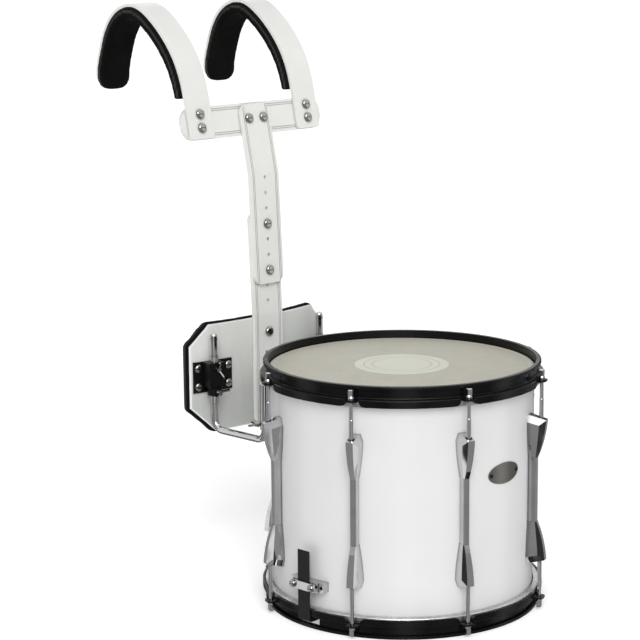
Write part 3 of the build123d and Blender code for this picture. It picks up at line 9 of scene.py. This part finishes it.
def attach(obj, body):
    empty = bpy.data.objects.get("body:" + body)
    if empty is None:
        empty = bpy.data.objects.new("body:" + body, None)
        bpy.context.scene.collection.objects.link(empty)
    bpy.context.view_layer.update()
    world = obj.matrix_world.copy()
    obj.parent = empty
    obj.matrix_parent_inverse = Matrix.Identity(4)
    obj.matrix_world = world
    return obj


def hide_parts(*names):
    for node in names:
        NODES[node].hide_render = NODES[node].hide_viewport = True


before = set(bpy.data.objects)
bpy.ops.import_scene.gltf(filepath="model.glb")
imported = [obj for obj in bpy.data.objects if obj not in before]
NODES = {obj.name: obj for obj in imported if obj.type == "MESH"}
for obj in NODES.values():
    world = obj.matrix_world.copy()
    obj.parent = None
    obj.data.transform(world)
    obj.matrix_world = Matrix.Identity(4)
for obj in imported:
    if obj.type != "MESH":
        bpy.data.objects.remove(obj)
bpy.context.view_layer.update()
SCENE = bpy.context.scene

# --- Sizes that the materials follow, in metres --------------------------------------------------
SHELL_INNER_R = 0.1752
HEAD_RIM_R = 0.170
HEAD_DISC_R = 0.0635
HEAD_RINGS_R = (0.0400, 0.0510)
PLATE_MIDDLE_Z = 0.280
PLATE_HALF = (0.1325, 0.0770)
# Each corner cut of the belly plate: a unit direction (x, z) and how far the cut is along it.
PLATE_CORNERS = ((0.683, 0.730, 0.12555), (0.679, -0.734, 0.1193))
# Width of the pale rim painted along the belly plate's outline as its edge highlight.
PLATE_HIGHLIGHT_WIDTH = 0.0014
FOAM_LAYER = "foam_layer"


# --- Node-tree helpers ---------------------------------------------------------------------------
class Tree:
    """A small builder for a material's node tree."""

    def __init__(self, name):
        self.material = bpy.data.materials.new(name)
        self.material.use_nodes = True
        self.nodes = self.material.node_tree.nodes
        self.links = self.material.node_tree.links
        self.shader = self.nodes["Principled BSDF"]
        self.coords = self.nodes.new("ShaderNodeTexCoord").outputs["Object"]

    def set(self, **values):
        for key, value in values.items():
            self.shader.inputs[key.replace("_", " ")].default_value = value

    def link(self, source, target):
        self.links.new(source, target)

    def scaled(self, scale):
        node = self.nodes.new("ShaderNodeMapping")
        node.inputs["Scale"].default_value = scale
        self.link(self.coords, node.inputs["Vector"])
        return node.outputs["Vector"]

    def noise(self, scale, detail=3.0, rough=0.55, stretch=(1, 1, 1), distortion=0.0):
        node = self.nodes.new("ShaderNodeTexNoise")
        node.inputs["Scale"].default_value = scale
        node.inputs["Detail"].default_value = detail
        node.inputs["Roughness"].default_value = rough
        node.inputs["Distortion"].default_value = distortion
        self.link(self.scaled(stretch), node.inputs["Vector"])
        return node.outputs["Fac"]

    def cells(self, scale):
        node = self.nodes.new("ShaderNodeTexVoronoi")
        node.inputs["Scale"].default_value = scale
        self.link(self.coords, node.inputs["Vector"])
        return node.outputs["Distance"]

    def wave(self, scale, axis, distortion=0.0):
        node = self.nodes.new("ShaderNodeTexWave")
        node.wave_type = "BANDS"
        node.bands_direction = axis
        node.wave_profile = "SIN"
        node.inputs["Scale"].default_value = scale
        node.inputs["Distortion"].default_value = distortion
        node.inputs["Detail"].default_value = 0.0
        self.link(self.coords, node.inputs["Vector"])
        return node.outputs["Fac"]

    def math(self, operation, a, b=None):
        node = self.nodes.new("ShaderNodeMath")
        node.operation = operation
        for number, value in enumerate((a, b)):
            if value is None:
                continue
            if isinstance(value, (int, float)):
                node.inputs[number].default_value = value
            else:
                self.link(value, node.inputs[number])
        return node.outputs[0]

    def spread(self, source, low, high, out_low, out_high):
        node = self.nodes.new("ShaderNodeMapRange")
        node.clamp = True
        limits = {"From Min": low, "From Max": high, "To Min": out_low, "To Max": out_high}
        for key, value in limits.items():
            node.inputs[key].default_value = value
        self.link(source, node.inputs["Value"])
        return node.outputs["Result"]

    def mix(self, factor, a, b):
        node = self.nodes.new("ShaderNodeMix")
        node.data_type = "RGBA"
        if isinstance(factor, (int, float)):
            node.inputs[0].default_value = factor
        else:
            self.link(factor, node.inputs[0])
        for socket, value in ((6, a), (7, b)):
            if isinstance(value, tuple):
                node.inputs[socket].default_value = (*value, 1.0)
            else:
                self.link(value, node.inputs[socket])
        return node.outputs[2]

    def radius(self):
        """Distance from the drum's axis."""
        split = self.nodes.new("ShaderNodeSeparateXYZ")
        self.link(self.coords, split.inputs[0])
        first = self.math("POWER", split.outputs[0], 2)
        second = self.math("POWER", split.outputs[1], 2)
        return self.math("SQRT", self.math("ADD", first, second))

    def axis(self, number):
        split = self.nodes.new("ShaderNodeSeparateXYZ")
        self.link(self.coords, split.inputs[0])
        return split.outputs[number]

    def edges(self, low=0.54, high=0.62):
        """Worn convex edges, from the mesh's pointiness."""
        geometry = self.nodes.new("ShaderNodeNewGeometry")
        return self.spread(geometry.outputs["Pointiness"], low, high, 0.0, 1.0)

    def painted_crevice_shade(self, reach):
        """Painted shade from ambient occlusion: 1 in grooves and joints narrower than the reach, 0
        on open faces.
        """
        node = self.nodes.new("ShaderNodeAmbientOcclusion")
        node.samples = 6
        node.inputs["Distance"].default_value = reach
        return self.spread(node.outputs["AO"], 0.35, 0.95, 1.0, 0.0)

    def bump(self, height, strength, distance, previous=None):
        node = self.nodes.new("ShaderNodeBump")
        node.inputs["Strength"].default_value = strength
        node.inputs["Distance"].default_value = distance
        self.link(height, node.inputs["Height"])
        if previous is not None:
            self.link(previous, node.inputs["Normal"])
        return node.outputs["Normal"]

    def colour(self, source):
        self.link(source, self.shader.inputs["Base Color"])

    def rough(self, source):
        self.link(source, self.shader.inputs["Roughness"])

    def normal(self, source):
        self.link(source, self.shader.inputs["Normal"])


def lacquer():
    """Gloss white lacquer over ply: a faint orange peel, polishing haze and maple on the inside."""
    t = Tree("gloss_white_lacquer")
    t.set(Metallic=0.0, Coat_Weight=0.12, Coat_Roughness=0.10, IOR=1.45, Specular_IOR_Level=0.25)
    mottle = t.noise(9.0, 4.0)
    white = t.mix(t.spread(mottle, 0.35, 0.65, 0, 1), (0.625, 0.627, 0.625), (0.645, 0.647, 0.643))
    grain = t.noise(60.0, 5.0, 0.6, (1, 1, 0.06), 0.6)
    maple = t.mix(t.spread(grain, 0.3, 0.7, 0, 1), (0.62, 0.43, 0.25), (0.74, 0.56, 0.36))
    inner = t.math("LESS_THAN", t.radius(), SHELL_INNER_R)
    t.colour(t.mix(inner, white, maple))
    haze = t.spread(t.noise(35.0, 4.0), 0.3, 0.7, 0.20, 0.27)
    t.rough(t.math("ADD", haze, t.math("MULTIPLY", inner, 0.35)))
    t.normal(t.bump(t.noise(420.0, 2.0), 0.10, 0.0004, t.bump(t.noise(40.0, 1.0), 0.06, 0.002)))
    return t.material


def powder_black(name="satin_black_powder", base=(0.0022, 0.0022, 0.0024), rough=(0.22, 0.32)):
    """Satin black powder coat: fine texture, dulled patches, and a few pale specks."""
    t = Tree(name)
    t.set(Metallic=0.0, IOR=1.45, Specular_IOR_Level=0.24)
    cloud = t.spread(t.noise(14.0, 5.0), 0.35, 0.65, 0, 1)
    lighter = tuple(value * 1.6 for value in base)
    black = t.mix(cloud, base, lighter)
    speck = t.spread(t.noise(700.0, 2.0), 0.66, 0.74, 0.0, 1.0)
    t.colour(t.mix(t.math("MULTIPLY", speck, 0.10), black, (0.06, 0.06, 0.06)))
    t.rough(t.spread(t.noise(55.0, 5.0), 0.3, 0.7, rough[0], rough[1]))
    t.normal(t.bump(t.noise(900.0, 3.0), 0.16, 0.0003, t.bump(t.noise(160.0, 2.0), 0.05, 0.0006)))
    return t.material


def chrome(name="bright_chrome", tint=(0.60, 0.60, 0.61), rough=(0.03, 0.09), brushed=None,
           ripple=0.03, reach=0.004):
    """Chrome plate: hairline polish marks, smears, and painted shade that darkens it in grooves and
    joints.
    """
    t = Tree(name)
    t.set(Metallic=1.0)
    smear = t.spread(t.noise(26.0, 5.0, 0.6), 0.35, 0.7, 0, 1)
    darker = tuple(value * 0.86 for value in tint)
    plated = t.mix(smear, tint, darker)
    # Painted shade: the plating goes near black in grooves and joints, from ambient occlusion.
    t.colour(t.mix(t.math("MULTIPLY", t.painted_crevice_shade(reach), 0.85), plated, (0.015, 0.015, 0.015)))
    hair = t.noise(240.0, 3.0, 0.6, brushed or (1.0, 1.0, 0.12))
    t.rough(t.spread(t.math("ADD", t.math("MULTIPLY", smear, 0.5), t.math("MULTIPLY", hair, 0.5)),
                     0.2, 0.8, rough[0], rough[1]))
    t.normal(t.bump(hair, 0.035, 0.0003, t.bump(t.noise(30.0, 1.0), ripple, 0.001)))
    return t.material


def powder_white():
    """White powder coat over aluminium: fine pebble, painted shade in the grooves, chips at edges.
    """
    t = Tree("white_powder_coat")
    t.set(Metallic=0.0, IOR=1.5, Coat_Weight=0.2, Coat_Roughness=0.22)
    cloud = t.spread(t.noise(18.0, 4.0), 0.3, 0.7, 0, 1)
    white = t.mix(cloud, (0.700, 0.708, 0.680), (0.735, 0.742, 0.712))
    chips = t.math("MULTIPLY", t.edges(0.57, 0.66), t.spread(t.noise(130.0, 3.0), 0.62, 0.70, 0, 1))
    # Painted shade: grooves and joints are greyed from ambient occlusion.
    white = t.mix(t.math("MULTIPLY", t.painted_crevice_shade(0.004), 0.75), white, (0.30, 0.30, 0.28))
    t.colour(t.mix(t.math("MULTIPLY", chips, 0.25), white, (0.48, 0.48, 0.47)))
    t.rough(t.spread(t.noise(80.0, 4.0), 0.3, 0.7, 0.28, 0.42))
    t.normal(t.bump(t.noise(1100.0, 3.0), 0.20, 0.0003, t.bump(t.noise(240.0, 2.0), 0.08, 0.0005)))
    return t.material


def plate_skin():
    """The belly plate: a satin silver-grey skin, painted lighter towards the top, inside a narrow
    pale rim painted as the edge's highlight.
    """
    t = Tree("plate_satin_grey")
    t.set(IOR=1.5, Coat_Weight=0.15, Coat_Roughness=0.25)
    x = t.math("ABSOLUTE", t.axis(0))
    z = t.math("SUBTRACT", t.axis(2), PLATE_MIDDLE_Z)
    # Painted highlight: a pale rim along the plate's outline stands in for its edge catching the
    # light.
    rim = t.math("SUBTRACT", x, PLATE_HALF[0])
    rim = t.math("MAXIMUM", rim, t.math("SUBTRACT", t.math("ABSOLUTE", z), PLATE_HALF[1]))
    for along, up, reach in PLATE_CORNERS:
        corner = t.math("ADD", t.math("MULTIPLY", x, along), t.math("MULTIPLY", z, up))
        rim = t.math("MAXIMUM", rim, t.math("SUBTRACT", corner, reach))
    rim = t.math("GREATER_THAN", rim, -PLATE_HIGHLIGHT_WIDTH)
    brush = t.noise(90.0, 4.0, 0.6, (1.0, 1.0, 0.08))
    low = t.mix(t.spread(brush, 0.3, 0.7, 0, 1), (0.46, 0.47, 0.45), (0.49, 0.50, 0.48))
    high = t.mix(t.spread(brush, 0.3, 0.7, 0, 1), (0.66, 0.67, 0.64), (0.70, 0.71, 0.68))
    # Painted light: the low grey is the shaded copy and the high grey the lit one, blended lighter
    # towards the top and one side.
    painted_light_rise = t.math("ADD", z, t.math("MULTIPLY", t.axis(0), -0.25))
    grey = t.mix(t.spread(painted_light_rise, -0.01, 0.07, 0, 1), low, high)
    t.colour(t.mix(rim, grey, (0.80, 0.81, 0.79)))
    t.rough(t.spread(t.noise(45.0, 4.0), 0.3, 0.7, 0.30, 0.44))
    t.normal(t.bump(brush, 0.06, 0.0003, t.bump(t.noise(700.0, 2.0), 0.10, 0.0003)))
    return t.material


def drum_film():
    """Woven aramid film: a fine weave, a pale coated disc with two thin rings, a paler rim."""
    t = Tree("woven_drum_film")
    t.set(IOR=1.45)
    weave = t.math("MULTIPLY", t.wave(1100.0, "X", 0.4), t.wave(1100.0, "Y", 0.4))
    radius = t.radius()
    cloud = t.spread(t.noise(16.0, 4.0), 0.3, 0.7, 0, 1)
    film = t.mix(cloud, (0.465, 0.450, 0.370), (0.480, 0.465, 0.385))
    film = t.mix(t.math("MULTIPLY", weave, 0.16), film, (0.52, 0.51, 0.44))
    outer = t.spread(radius, HEAD_RIM_R - 0.001, HEAD_RIM_R + 0.001, 0, 1)
    film = t.mix(t.math("MULTIPLY", outer, 0.45), film, (0.60, 0.59, 0.51))
    disc = t.spread(radius, HEAD_DISC_R - 0.0004, HEAD_DISC_R + 0.0004, 1, 0)
    for ring_r in HEAD_RINGS_R:
        away = t.math("ABSOLUTE", t.math("SUBTRACT", radius, ring_r))
        disc = t.math("MULTIPLY", disc, t.spread(away, 0.0011, 0.0016, 0.35, 1.0))
    film = t.mix(t.math("MULTIPLY", disc, 0.85), film, (0.71, 0.72, 0.62))
    t.colour(film)
    t.rough(t.spread(t.noise(60.0, 4.0), 0.3, 0.7, 0.34, 0.48))
    t.normal(t.bump(weave, 0.18, 0.0002, t.bump(t.noise(500.0, 2.0), 0.06, 0.0002)))
    return t.material


def foam(name, base=(0.0022, 0.0022, 0.0021)):
    """Matt closed-cell foam with a leathery skin: fine open pores over a soft pebble."""
    t = Tree(name)
    t.set(IOR=1.30, Specular_IOR_Level=0.15, Sheen_Weight=0.01, Sheen_Roughness=0.5)
    cloud = t.spread(t.noise(28.0, 5.0), 0.35, 0.65, 0, 1)
    skin = t.mix(cloud, base, tuple(value * 1.9 for value in base))
    pores = t.spread(t.cells(900.0), 0.0, 0.25, 1.0, 0.0)
    layer = t.nodes.new("ShaderNodeAttribute")
    layer.attribute_name = FOAM_LAYER
    skin = t.mix(layer.outputs["Fac"], skin, (0.046, 0.046, 0.043))
    t.colour(t.mix(t.math("MULTIPLY", pores, 0.6), skin, (0.002, 0.002, 0.002)))
    t.rough(t.spread(t.noise(120.0, 4.0), 0.3, 0.7, 0.62, 0.80))
    t.normal(t.bump(t.cells(900.0), 0.30, 0.0005, t.bump(t.noise(170.0, 4.0), 0.30, 0.0008)))
    return t.material


def ribbon():
    """Black woven snare ribbon: a fine twill with a slight gloss."""
    t = Tree("black_ribbon")
    t.set(IOR=1.40, Specular_IOR_Level=0.30)
    twill = t.math("MULTIPLY", t.wave(900.0, "DIAGONAL", 0.2), t.wave(700.0, "Z", 0.2))
    t.colour(t.mix(t.spread(twill, 0, 1, 0, 1), (0.008, 0.008, 0.008), (0.024, 0.024, 0.024)))
    t.rough(t.spread(t.noise(90.0, 3.0), 0.3, 0.7, 0.38, 0.52))
    t.normal(t.bump(twill, 0.35, 0.0002))
    return t.material


def coiled_wire():
    """Snare wire: bright steel wound in fine coils along X."""
    t = Tree("coiled_snare_wire")
    t.set(Metallic=1.0)
    coil = t.wave(430.0, "X", 0.0)
    t.colour(t.mix(t.spread(coil, 0.0, 1.0, 0, 1), (0.20, 0.20, 0.20), (0.72, 0.72, 0.73)))
    t.rough(t.spread(t.noise(200.0, 3.0), 0.3, 0.7, 0.20, 0.34))
    t.normal(t.bump(coil, 0.8, 0.0004))
    return t.material


def satin_metal(name, tint, rough):
    """Machined metal: fine turning marks and tarnish."""
    t = Tree(name)
    t.set(Metallic=1.0)
    stain = t.spread(t.noise(40.0, 5.0), 0.35, 0.65, 0, 1)
    t.colour(t.mix(stain, tint, tuple(value * 0.72 for value in tint)))
    turning = t.noise(320.0, 3.0, 0.6, (0.25, 0.25, 2.0))
    t.rough(t.spread(turning, 0.3, 0.7, rough[0], rough[1]))
    t.normal(t.bump(turning, 0.10, 0.0003))
    return t.material


CHROME = chrome()
BADGE_METAL = chrome("brushed_badge", (0.235, 0.228, 0.208), (0.26, 0.38), (0.05, 1.0, 1.0))
SCREW = chrome("zinc_screw", (0.40, 0.39, 0.37), (0.06, 0.14), ripple=0.5, reach=0.005)
CAST = chrome("cast_chrome", (0.66, 0.66, 0.67), (0.03, 0.10), ripple=0.9, reach=0.008)
BLACK = powder_black()
BRACKET = powder_black("satin_black_bracket", (0.0028, 0.0028, 0.0030), (0.30, 0.44))
WHITE = powder_white()
RUBBER = foam("black_grommet", (0.02, 0.02, 0.02))
FINISH = {
    "shell": lacquer(), "top_hoop": BLACK, "bottom_hoop": BLACK,
    "batter_head": drum_film(), "snare_side_head": drum_film(),
    "batter_flesh_hoop": satin_metal("flesh_hoop_metal", (0.68, 0.68, 0.67), (0.22, 0.36)),
    "snare_flesh_hoop": satin_metal("flesh_hoop_metal_low", (0.68, 0.68, 0.67), (0.22, 0.36)),
    "lug_inserts": satin_metal("brass_insert", (0.62, 0.48, 0.24), (0.25, 0.38)),
    "lug_castings": CAST, "hook_sockets": CAST,
    "lug_screws": SCREW, "fitting_screws": SCREW, "carrier_bolts": SCREW, "rod_washers": SCREW,
    "badge": BADGE_METAL, "badge_rivets": BRACKET, "vent_grommet": RUBBER,
    "butt_strap": ribbon(), "throw_off_strap": ribbon(), "snare_wires": coiled_wire(),
    "rod_brackets": BRACKET, "guide_collars": BRACKET,
    "belly_plate": plate_skin(), "lower_bar": WHITE, "upper_bar": WHITE, "crossbar": WHITE,
    "shoulder_bands": WHITE,
}


def paint(obj, material):
    """Gives a mesh one material in every slot."""
    slots = obj.data.materials
    if not slots:
        slots.append(material)
    for number in range(len(slots)):
        slots[number] = material


for node_name, node in NODES.items():
    if "wing_screw" in node_name:
        paint(node, SCREW)
    else:
        paint(node, FINISH.get(node_name, CHROME))

# --- Rounded edges on the hard pieces ------------------------------------------------------------
ROUNDED = {
    "lower_bar": 0.0007, "upper_bar": 0.0007, "crossbar": 0.0008, "shoulder_bands": 0.0008,
    "belly_plate": 0.0006, "rod_brackets": 0.0006, "butt_plate": 0.0006, "butt_clamp": 0.0005,
    "lug_castings": 0.0008, "hook_sockets": 0.0006, "throw_off_base": 0.0005,
    "throw_off_lever": 0.0005, "throw_off_carriage": 0.0004, "guide_collars": 0.0004,
}
BEVEL_ANGLE = math.radians(35)
for node_name, width in ROUNDED.items():
    bevel = NODES[node_name].modifiers.new("rounded_edges", "BEVEL")
    bevel.width = width
    bevel.segments = 2
    bevel.limit_method = "ANGLE"
    bevel.angle_limit = BEVEL_ANGLE
    bevel.harden_normals = False
    bevel.use_clamp_overlap = True


# --- Soft pads -----------------------------------------------------------------------------------
PAD_SHRINK = 0.0006
PAD_VOXEL = 0.0032
PAD_CAP = 0.0012
PAD_PRESSURE = 2.0
CLOTH_STEPS = 20
# The paler layer lies between these two distances from the metal behind each pad.
BAND_LAYER = (0.0058, 0.0092)
PLATE_LAYER = (0.0056, 0.0108)
LAYER_EDGE = 0.0012
LAYER_GROOVE = 0.0007
# How sideways a surface has to face to count as the pad's edge, and over what span it fades in.
SIDE_FROM = 0.55
SIDE_FADE = 0.3
PAD_FOAM = foam("black_pad_foam")


def layered_sides(mesh, backing, span, upright):
    """Marks a paler foam layer along a pad's edges and sinks a fine groove at each side of it.

    upright is 1 where the pad's top and bottom are edges too, and 0 where only its flanks are.
    """
    near, far = span
    tree = BVHTree.FromPolygons([v.co for v in backing.data.vertices],
                                [p.vertices for p in backing.data.polygons])
    layer = mesh.attributes.new(FOAM_LAYER, "FLOAT", "POINT")
    for vertex in mesh.vertices:
        normal = vertex.normal
        slope = math.hypot(normal.x, normal.z * upright)
        side = min(1.0, max(0.0, (slope - SIDE_FROM) / SIDE_FADE))
        distance = tree.find_nearest(vertex.co)[3]
        inside = min(distance - near, far - distance) / LAYER_EDGE
        layer.data[vertex.index].value = side * min(1.0, max(0.0, inside))
        to_edge = min(abs(distance - near), abs(far - distance))
        groove = side * max(0.0, 1.0 - to_edge / LAYER_EDGE)
        vertex.co -= normal * groove * LAYER_GROOVE


def soft_copy(name, node_name, layer):
    """A foam piece from a CAD solid: drawn in, remeshed, swelled as cloth up to a cap, smoothed."""
    source = NODES[node_name]
    obj = bpy.data.objects.new(name, source.data.copy())
    SCENE.collection.objects.link(obj)
    mesh = bmesh.new()
    mesh.from_mesh(obj.data)
    bmesh.ops.remove_doubles(mesh, verts=mesh.verts, dist=0.00002)
    bmesh.ops.recalc_face_normals(mesh, faces=mesh.faces)
    mesh.to_mesh(obj.data)
    mesh.free()
    bpy.context.view_layer.objects.active = obj
    for other in bpy.context.selected_objects:
        other.select_set(False)
    obj.select_set(True)
    remesh = obj.modifiers.new("remesh", "REMESH")
    remesh.mode = "VOXEL"
    remesh.voxel_size = PAD_VOXEL
    bpy.ops.object.modifier_apply(modifier=remesh.name)
    for vertex, normal in [(v, v.normal.copy()) for v in obj.data.vertices]:
        vertex.co -= normal * PAD_SHRINK
    start = [v.co.copy() for v in obj.data.vertices]
    cloth = obj.modifiers.new("cloth", "CLOTH")
    cloth.settings.quality = 5
    cloth.settings.mass = 0.3
    cloth.settings.tension_stiffness = 18
    cloth.settings.compression_stiffness = 18
    cloth.settings.shear_stiffness = 8
    cloth.settings.bending_stiffness = 0.6
    cloth.settings.use_pressure = True
    cloth.settings.uniform_pressure_force = PAD_PRESSURE
    cloth.settings.effector_weights.gravity = 0.0
    cloth.point_cache.frame_start = 1
    cloth.point_cache.frame_end = CLOTH_STEPS
    for step in range(1, CLOTH_STEPS + 1):
        SCENE.frame_set(step)
    bpy.ops.object.modifier_apply(modifier=cloth.name)
    SCENE.frame_set(1)
    for vertex, home in zip(obj.data.vertices, start):
        move = vertex.co - home
        if move.length > PAD_CAP:
            vertex.co = home + move.normalized() * PAD_CAP
    smooth = obj.modifiers.new("smooth", "SMOOTH")
    smooth.factor = 0.5
    smooth.iterations = 6
    bpy.ops.object.modifier_apply(modifier=smooth.name)
    layered_sides(obj.data, *layer)
    subdivide = obj.modifiers.new("subdivide", "SUBSURF")
    subdivide.levels = 1
    subdivide.render_levels = 1
    bpy.ops.object.modifier_apply(modifier=subdivide.name)
    obj.data.polygons.foreach_set("use_smooth", [True] * len(obj.data.polygons))
    paint(obj, PAD_FOAM)
    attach(obj, "carrier")
    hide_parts(node_name)


soft_copy("soft_shoulder_pads", "shoulder_pads", (NODES["shoulder_bands"], BAND_LAYER, 0))
soft_copy("soft_belly_pad", "belly_pad", (NODES["belly_plate"], PLATE_LAYER, 1))

# --- Camera --------------------------------------------------------------------------------------
CAMERA_AZIMUTH = math.radians(-45.98)
CAMERA_ELEVATION = math.radians(10.97)
CAMERA_DISTANCE = 2.72807
CAMERA_ROLL = math.radians(0.49)
CAMERA_SIDE = -0.10957
CAMERA_HEIGHT = 0.38453
SENSOR = 36.0
FOCAL_PIXELS = 2033.92
RENDER_SIZE = 640

right = Vector((math.cos(CAMERA_AZIMUTH), math.sin(CAMERA_AZIMUTH), 0))
back = Vector((
    math.sin(CAMERA_AZIMUTH) * math.cos(CAMERA_ELEVATION),
    -math.cos(CAMERA_AZIMUTH) * math.cos(CAMERA_ELEVATION),
    math.sin(CAMERA_ELEVATION),
))
up = back.cross(right)
rolled_right = right * math.cos(CAMERA_ROLL) - up * math.sin(CAMERA_ROLL)
rolled_up = right * math.sin(CAMERA_ROLL) + up * math.cos(CAMERA_ROLL)
target = right * CAMERA_SIDE + Vector((0, 0, CAMERA_HEIGHT))
place = target + back * CAMERA_DISTANCE
camera = bpy.data.objects.new("camera", bpy.data.cameras.new("camera"))
camera.data.sensor_width = SENSOR
camera.data.lens = FOCAL_PIXELS / RENDER_SIZE * SENSOR
camera.data.clip_start = 0.05
camera.data.clip_end = 200.0
camera.matrix_world = Matrix((
    (rolled_right.x, rolled_up.x, back.x, place.x),
    (rolled_right.y, rolled_up.y, back.y, place.y),
    (rolled_right.z, rolled_up.z, back.z, place.z),
    (0, 0, 0, 1),
))
SCENE.collection.objects.link(camera)
SCENE.camera = camera

# --- Floor and light -----------------------------------------------------------------------------
FLOOR_HALF = 60.0
FLOOR_LEVEL = -0.0002
FLOOR_GLOW = 0.38
SKY_LEVEL = 0.25
STRIPS = 4
STRIP_PHASE = 0.25
WALL_STOPS = (
    (0.0, 0.36), (0.44, 0.30), (0.50, 0.02), (0.62, 0.02), (0.67, 1.0), (0.84, 1.0),
    (0.88, 0.03), (0.95, 0.05), (1.0, 0.36),
)
CEILING_STOPS = ((0.0, 0.0), (0.66, 0.0), (0.74, 1.0), (1.0, 1.0))
CEILING_LEVEL = 0.85
LIGHTS_AIM = Vector((0, 0.05, 0.32))
floor_mesh = bpy.data.meshes.new("floor")
floor_corners = [
    (x * FLOOR_HALF, y * FLOOR_HALF, FLOOR_LEVEL) for x, y in ((-1, -1), (1, -1), (1, 1), (-1, 1))
]
floor_mesh.from_pydata(floor_corners, [], [(0, 1, 2, 3)])
floor = bpy.data.objects.new("floor", floor_mesh)
SCENE.collection.objects.link(floor)
floor_tree = Tree("pale_floor")
floor_tree.set(Roughness=0.9, IOR=1.3, Emission_Color=(1, 1, 1, 1), Emission_Strength=FLOOR_GLOW)
cloudy = floor_tree.noise(2.0, 2.0)
floor_tree.colour(floor_tree.mix(cloudy, (0.90, 0.90, 0.90), (0.93, 0.93, 0.93)))
paint(floor, floor_tree.material)
floor.visible_glossy = False

world = bpy.data.worlds.new("studio")
SCENE.world = world
world.use_nodes = True
sky_nodes = world.node_tree.nodes
sky_links = world.node_tree.links


def sky_math(operation, a, b):
    node = sky_nodes.new("ShaderNodeMath")
    node.operation = operation
    for number, value in enumerate((a, b)):
        if isinstance(value, (int, float)):
            node.inputs[number].default_value = value
        else:
            sky_links.new(value, node.inputs[number])
    return node.outputs[0]


def sky_ramp(source, stops):
    """A grey ramp: (position, level) pairs."""
    ramp = sky_nodes.new("ShaderNodeValToRGB")
    sky_links.new(source, ramp.inputs["Fac"])
    elements = ramp.color_ramp.elements
    elements[0].position, elements[1].position = stops[0][0], stops[-1][0]
    for position, _ in stops[1:-1]:
        elements.new(position)
    for element, (_, level) in zip(elements, stops):
        element.color = (level, level, level, 1)
    return ramp.outputs["Color"]


def sky_mix(factor, a, b):
    node = sky_nodes.new("ShaderNodeMix")
    node.data_type = "RGBA"
    sky_links.new(factor, node.inputs[0])
    for socket, value in ((6, a), (7, b)):
        if isinstance(value, tuple):
            node.inputs[socket].default_value = (*value, 1.0)
        else:
            sky_links.new(value, node.inputs[socket])
    return node.outputs[2]


# Reflections see grey walls with dark gaps and bright strips, and a bright ceiling. Diffuse rays
# see a dim even sky, and everything else sees white.
split = sky_nodes.new("ShaderNodeSeparateXYZ")
sky_links.new(sky_nodes.new("ShaderNodeTexCoord").outputs["Generated"], split.inputs[0])
turn = sky_math("ARCTAN2", split.outputs["Y"], split.outputs["X"])
turn = sky_math("ADD", sky_math("MULTIPLY", turn, STRIPS / math.tau), STRIP_PHASE)
walls = sky_ramp(sky_math("FRACT", turn, 0.0), WALL_STOPS)
height = sky_math("ADD", sky_math("MULTIPLY", split.outputs["Z"], 0.5), 0.5)
ceiling = sky_ramp(height, CEILING_STOPS)
reflected = sky_mix(ceiling, walls, (CEILING_LEVEL,) * 3)
ray = sky_nodes.new("ShaderNodeLightPath")
seen = sky_mix(ray.outputs["Is Diffuse Ray"], (1.0, 1.0, 1.0), (SKY_LEVEL,) * 3)
seen = sky_mix(ray.outputs["Is Glossy Ray"], seen, reflected)
sky_links.new(seen, sky_nodes["Background"].inputs["Color"])
sky_nodes["Background"].inputs["Strength"].default_value = 1.0


def soft_sun(name, azimuth, elevation, strength, spread):
    """A broad even light from far off."""
    light = bpy.data.objects.new(name, bpy.data.lights.new(name, "SUN"))
    light.data.energy = strength
    light.data.angle = math.radians(spread)
    turned, raised = math.radians(azimuth), math.radians(elevation)
    level = math.cos(raised)
    source = Vector((math.sin(turned) * level, -math.cos(turned) * level, math.sin(raised)))
    light.rotation_mode = "QUATERNION"
    light.rotation_quaternion = source.to_track_quat("Z", "Y")
    SCENE.collection.objects.link(light)


soft_sun("front_sun", -42, 34, 2.0, 36)
soft_sun("top_sun", -46, 88, 0.5, 90)


def softbox(name, azimuth, height, distance, width, tall, power):
    """A rectangular soft light that faces the drum."""
    light = bpy.data.lights.new(name, "AREA")
    light.shape = "RECTANGLE"
    light.size = width
    light.size_y = tall
    light.energy = power
    lamp = bpy.data.objects.new(name, light)
    angle = math.radians(azimuth)
    lamp.location = (math.sin(angle) * distance, -math.cos(angle) * distance, height)
    aim = LIGHTS_AIM - lamp.location
    lamp.rotation_mode = "QUATERNION"
    lamp.rotation_quaternion = aim.to_track_quat("-Z", "Y")
    SCENE.collection.objects.link(lamp)


softbox("key_light", -62, 1.5, 2.6, 1.0, 1.6, 5)
softbox("fill_light", -6, 1.2, 2.8, 0.6, 1.6, 2)
softbox("back_light", 150, 1.9, 2.4, 1.6, 1.0, 3)
softbox("top_light", -40, 2.8, 0.8, 1.6, 1.6, 2)

SCENE.view_settings.view_transform = "Standard"
SCENE.view_settings.look = "None"
SCENE.view_settings.exposure = 0.0
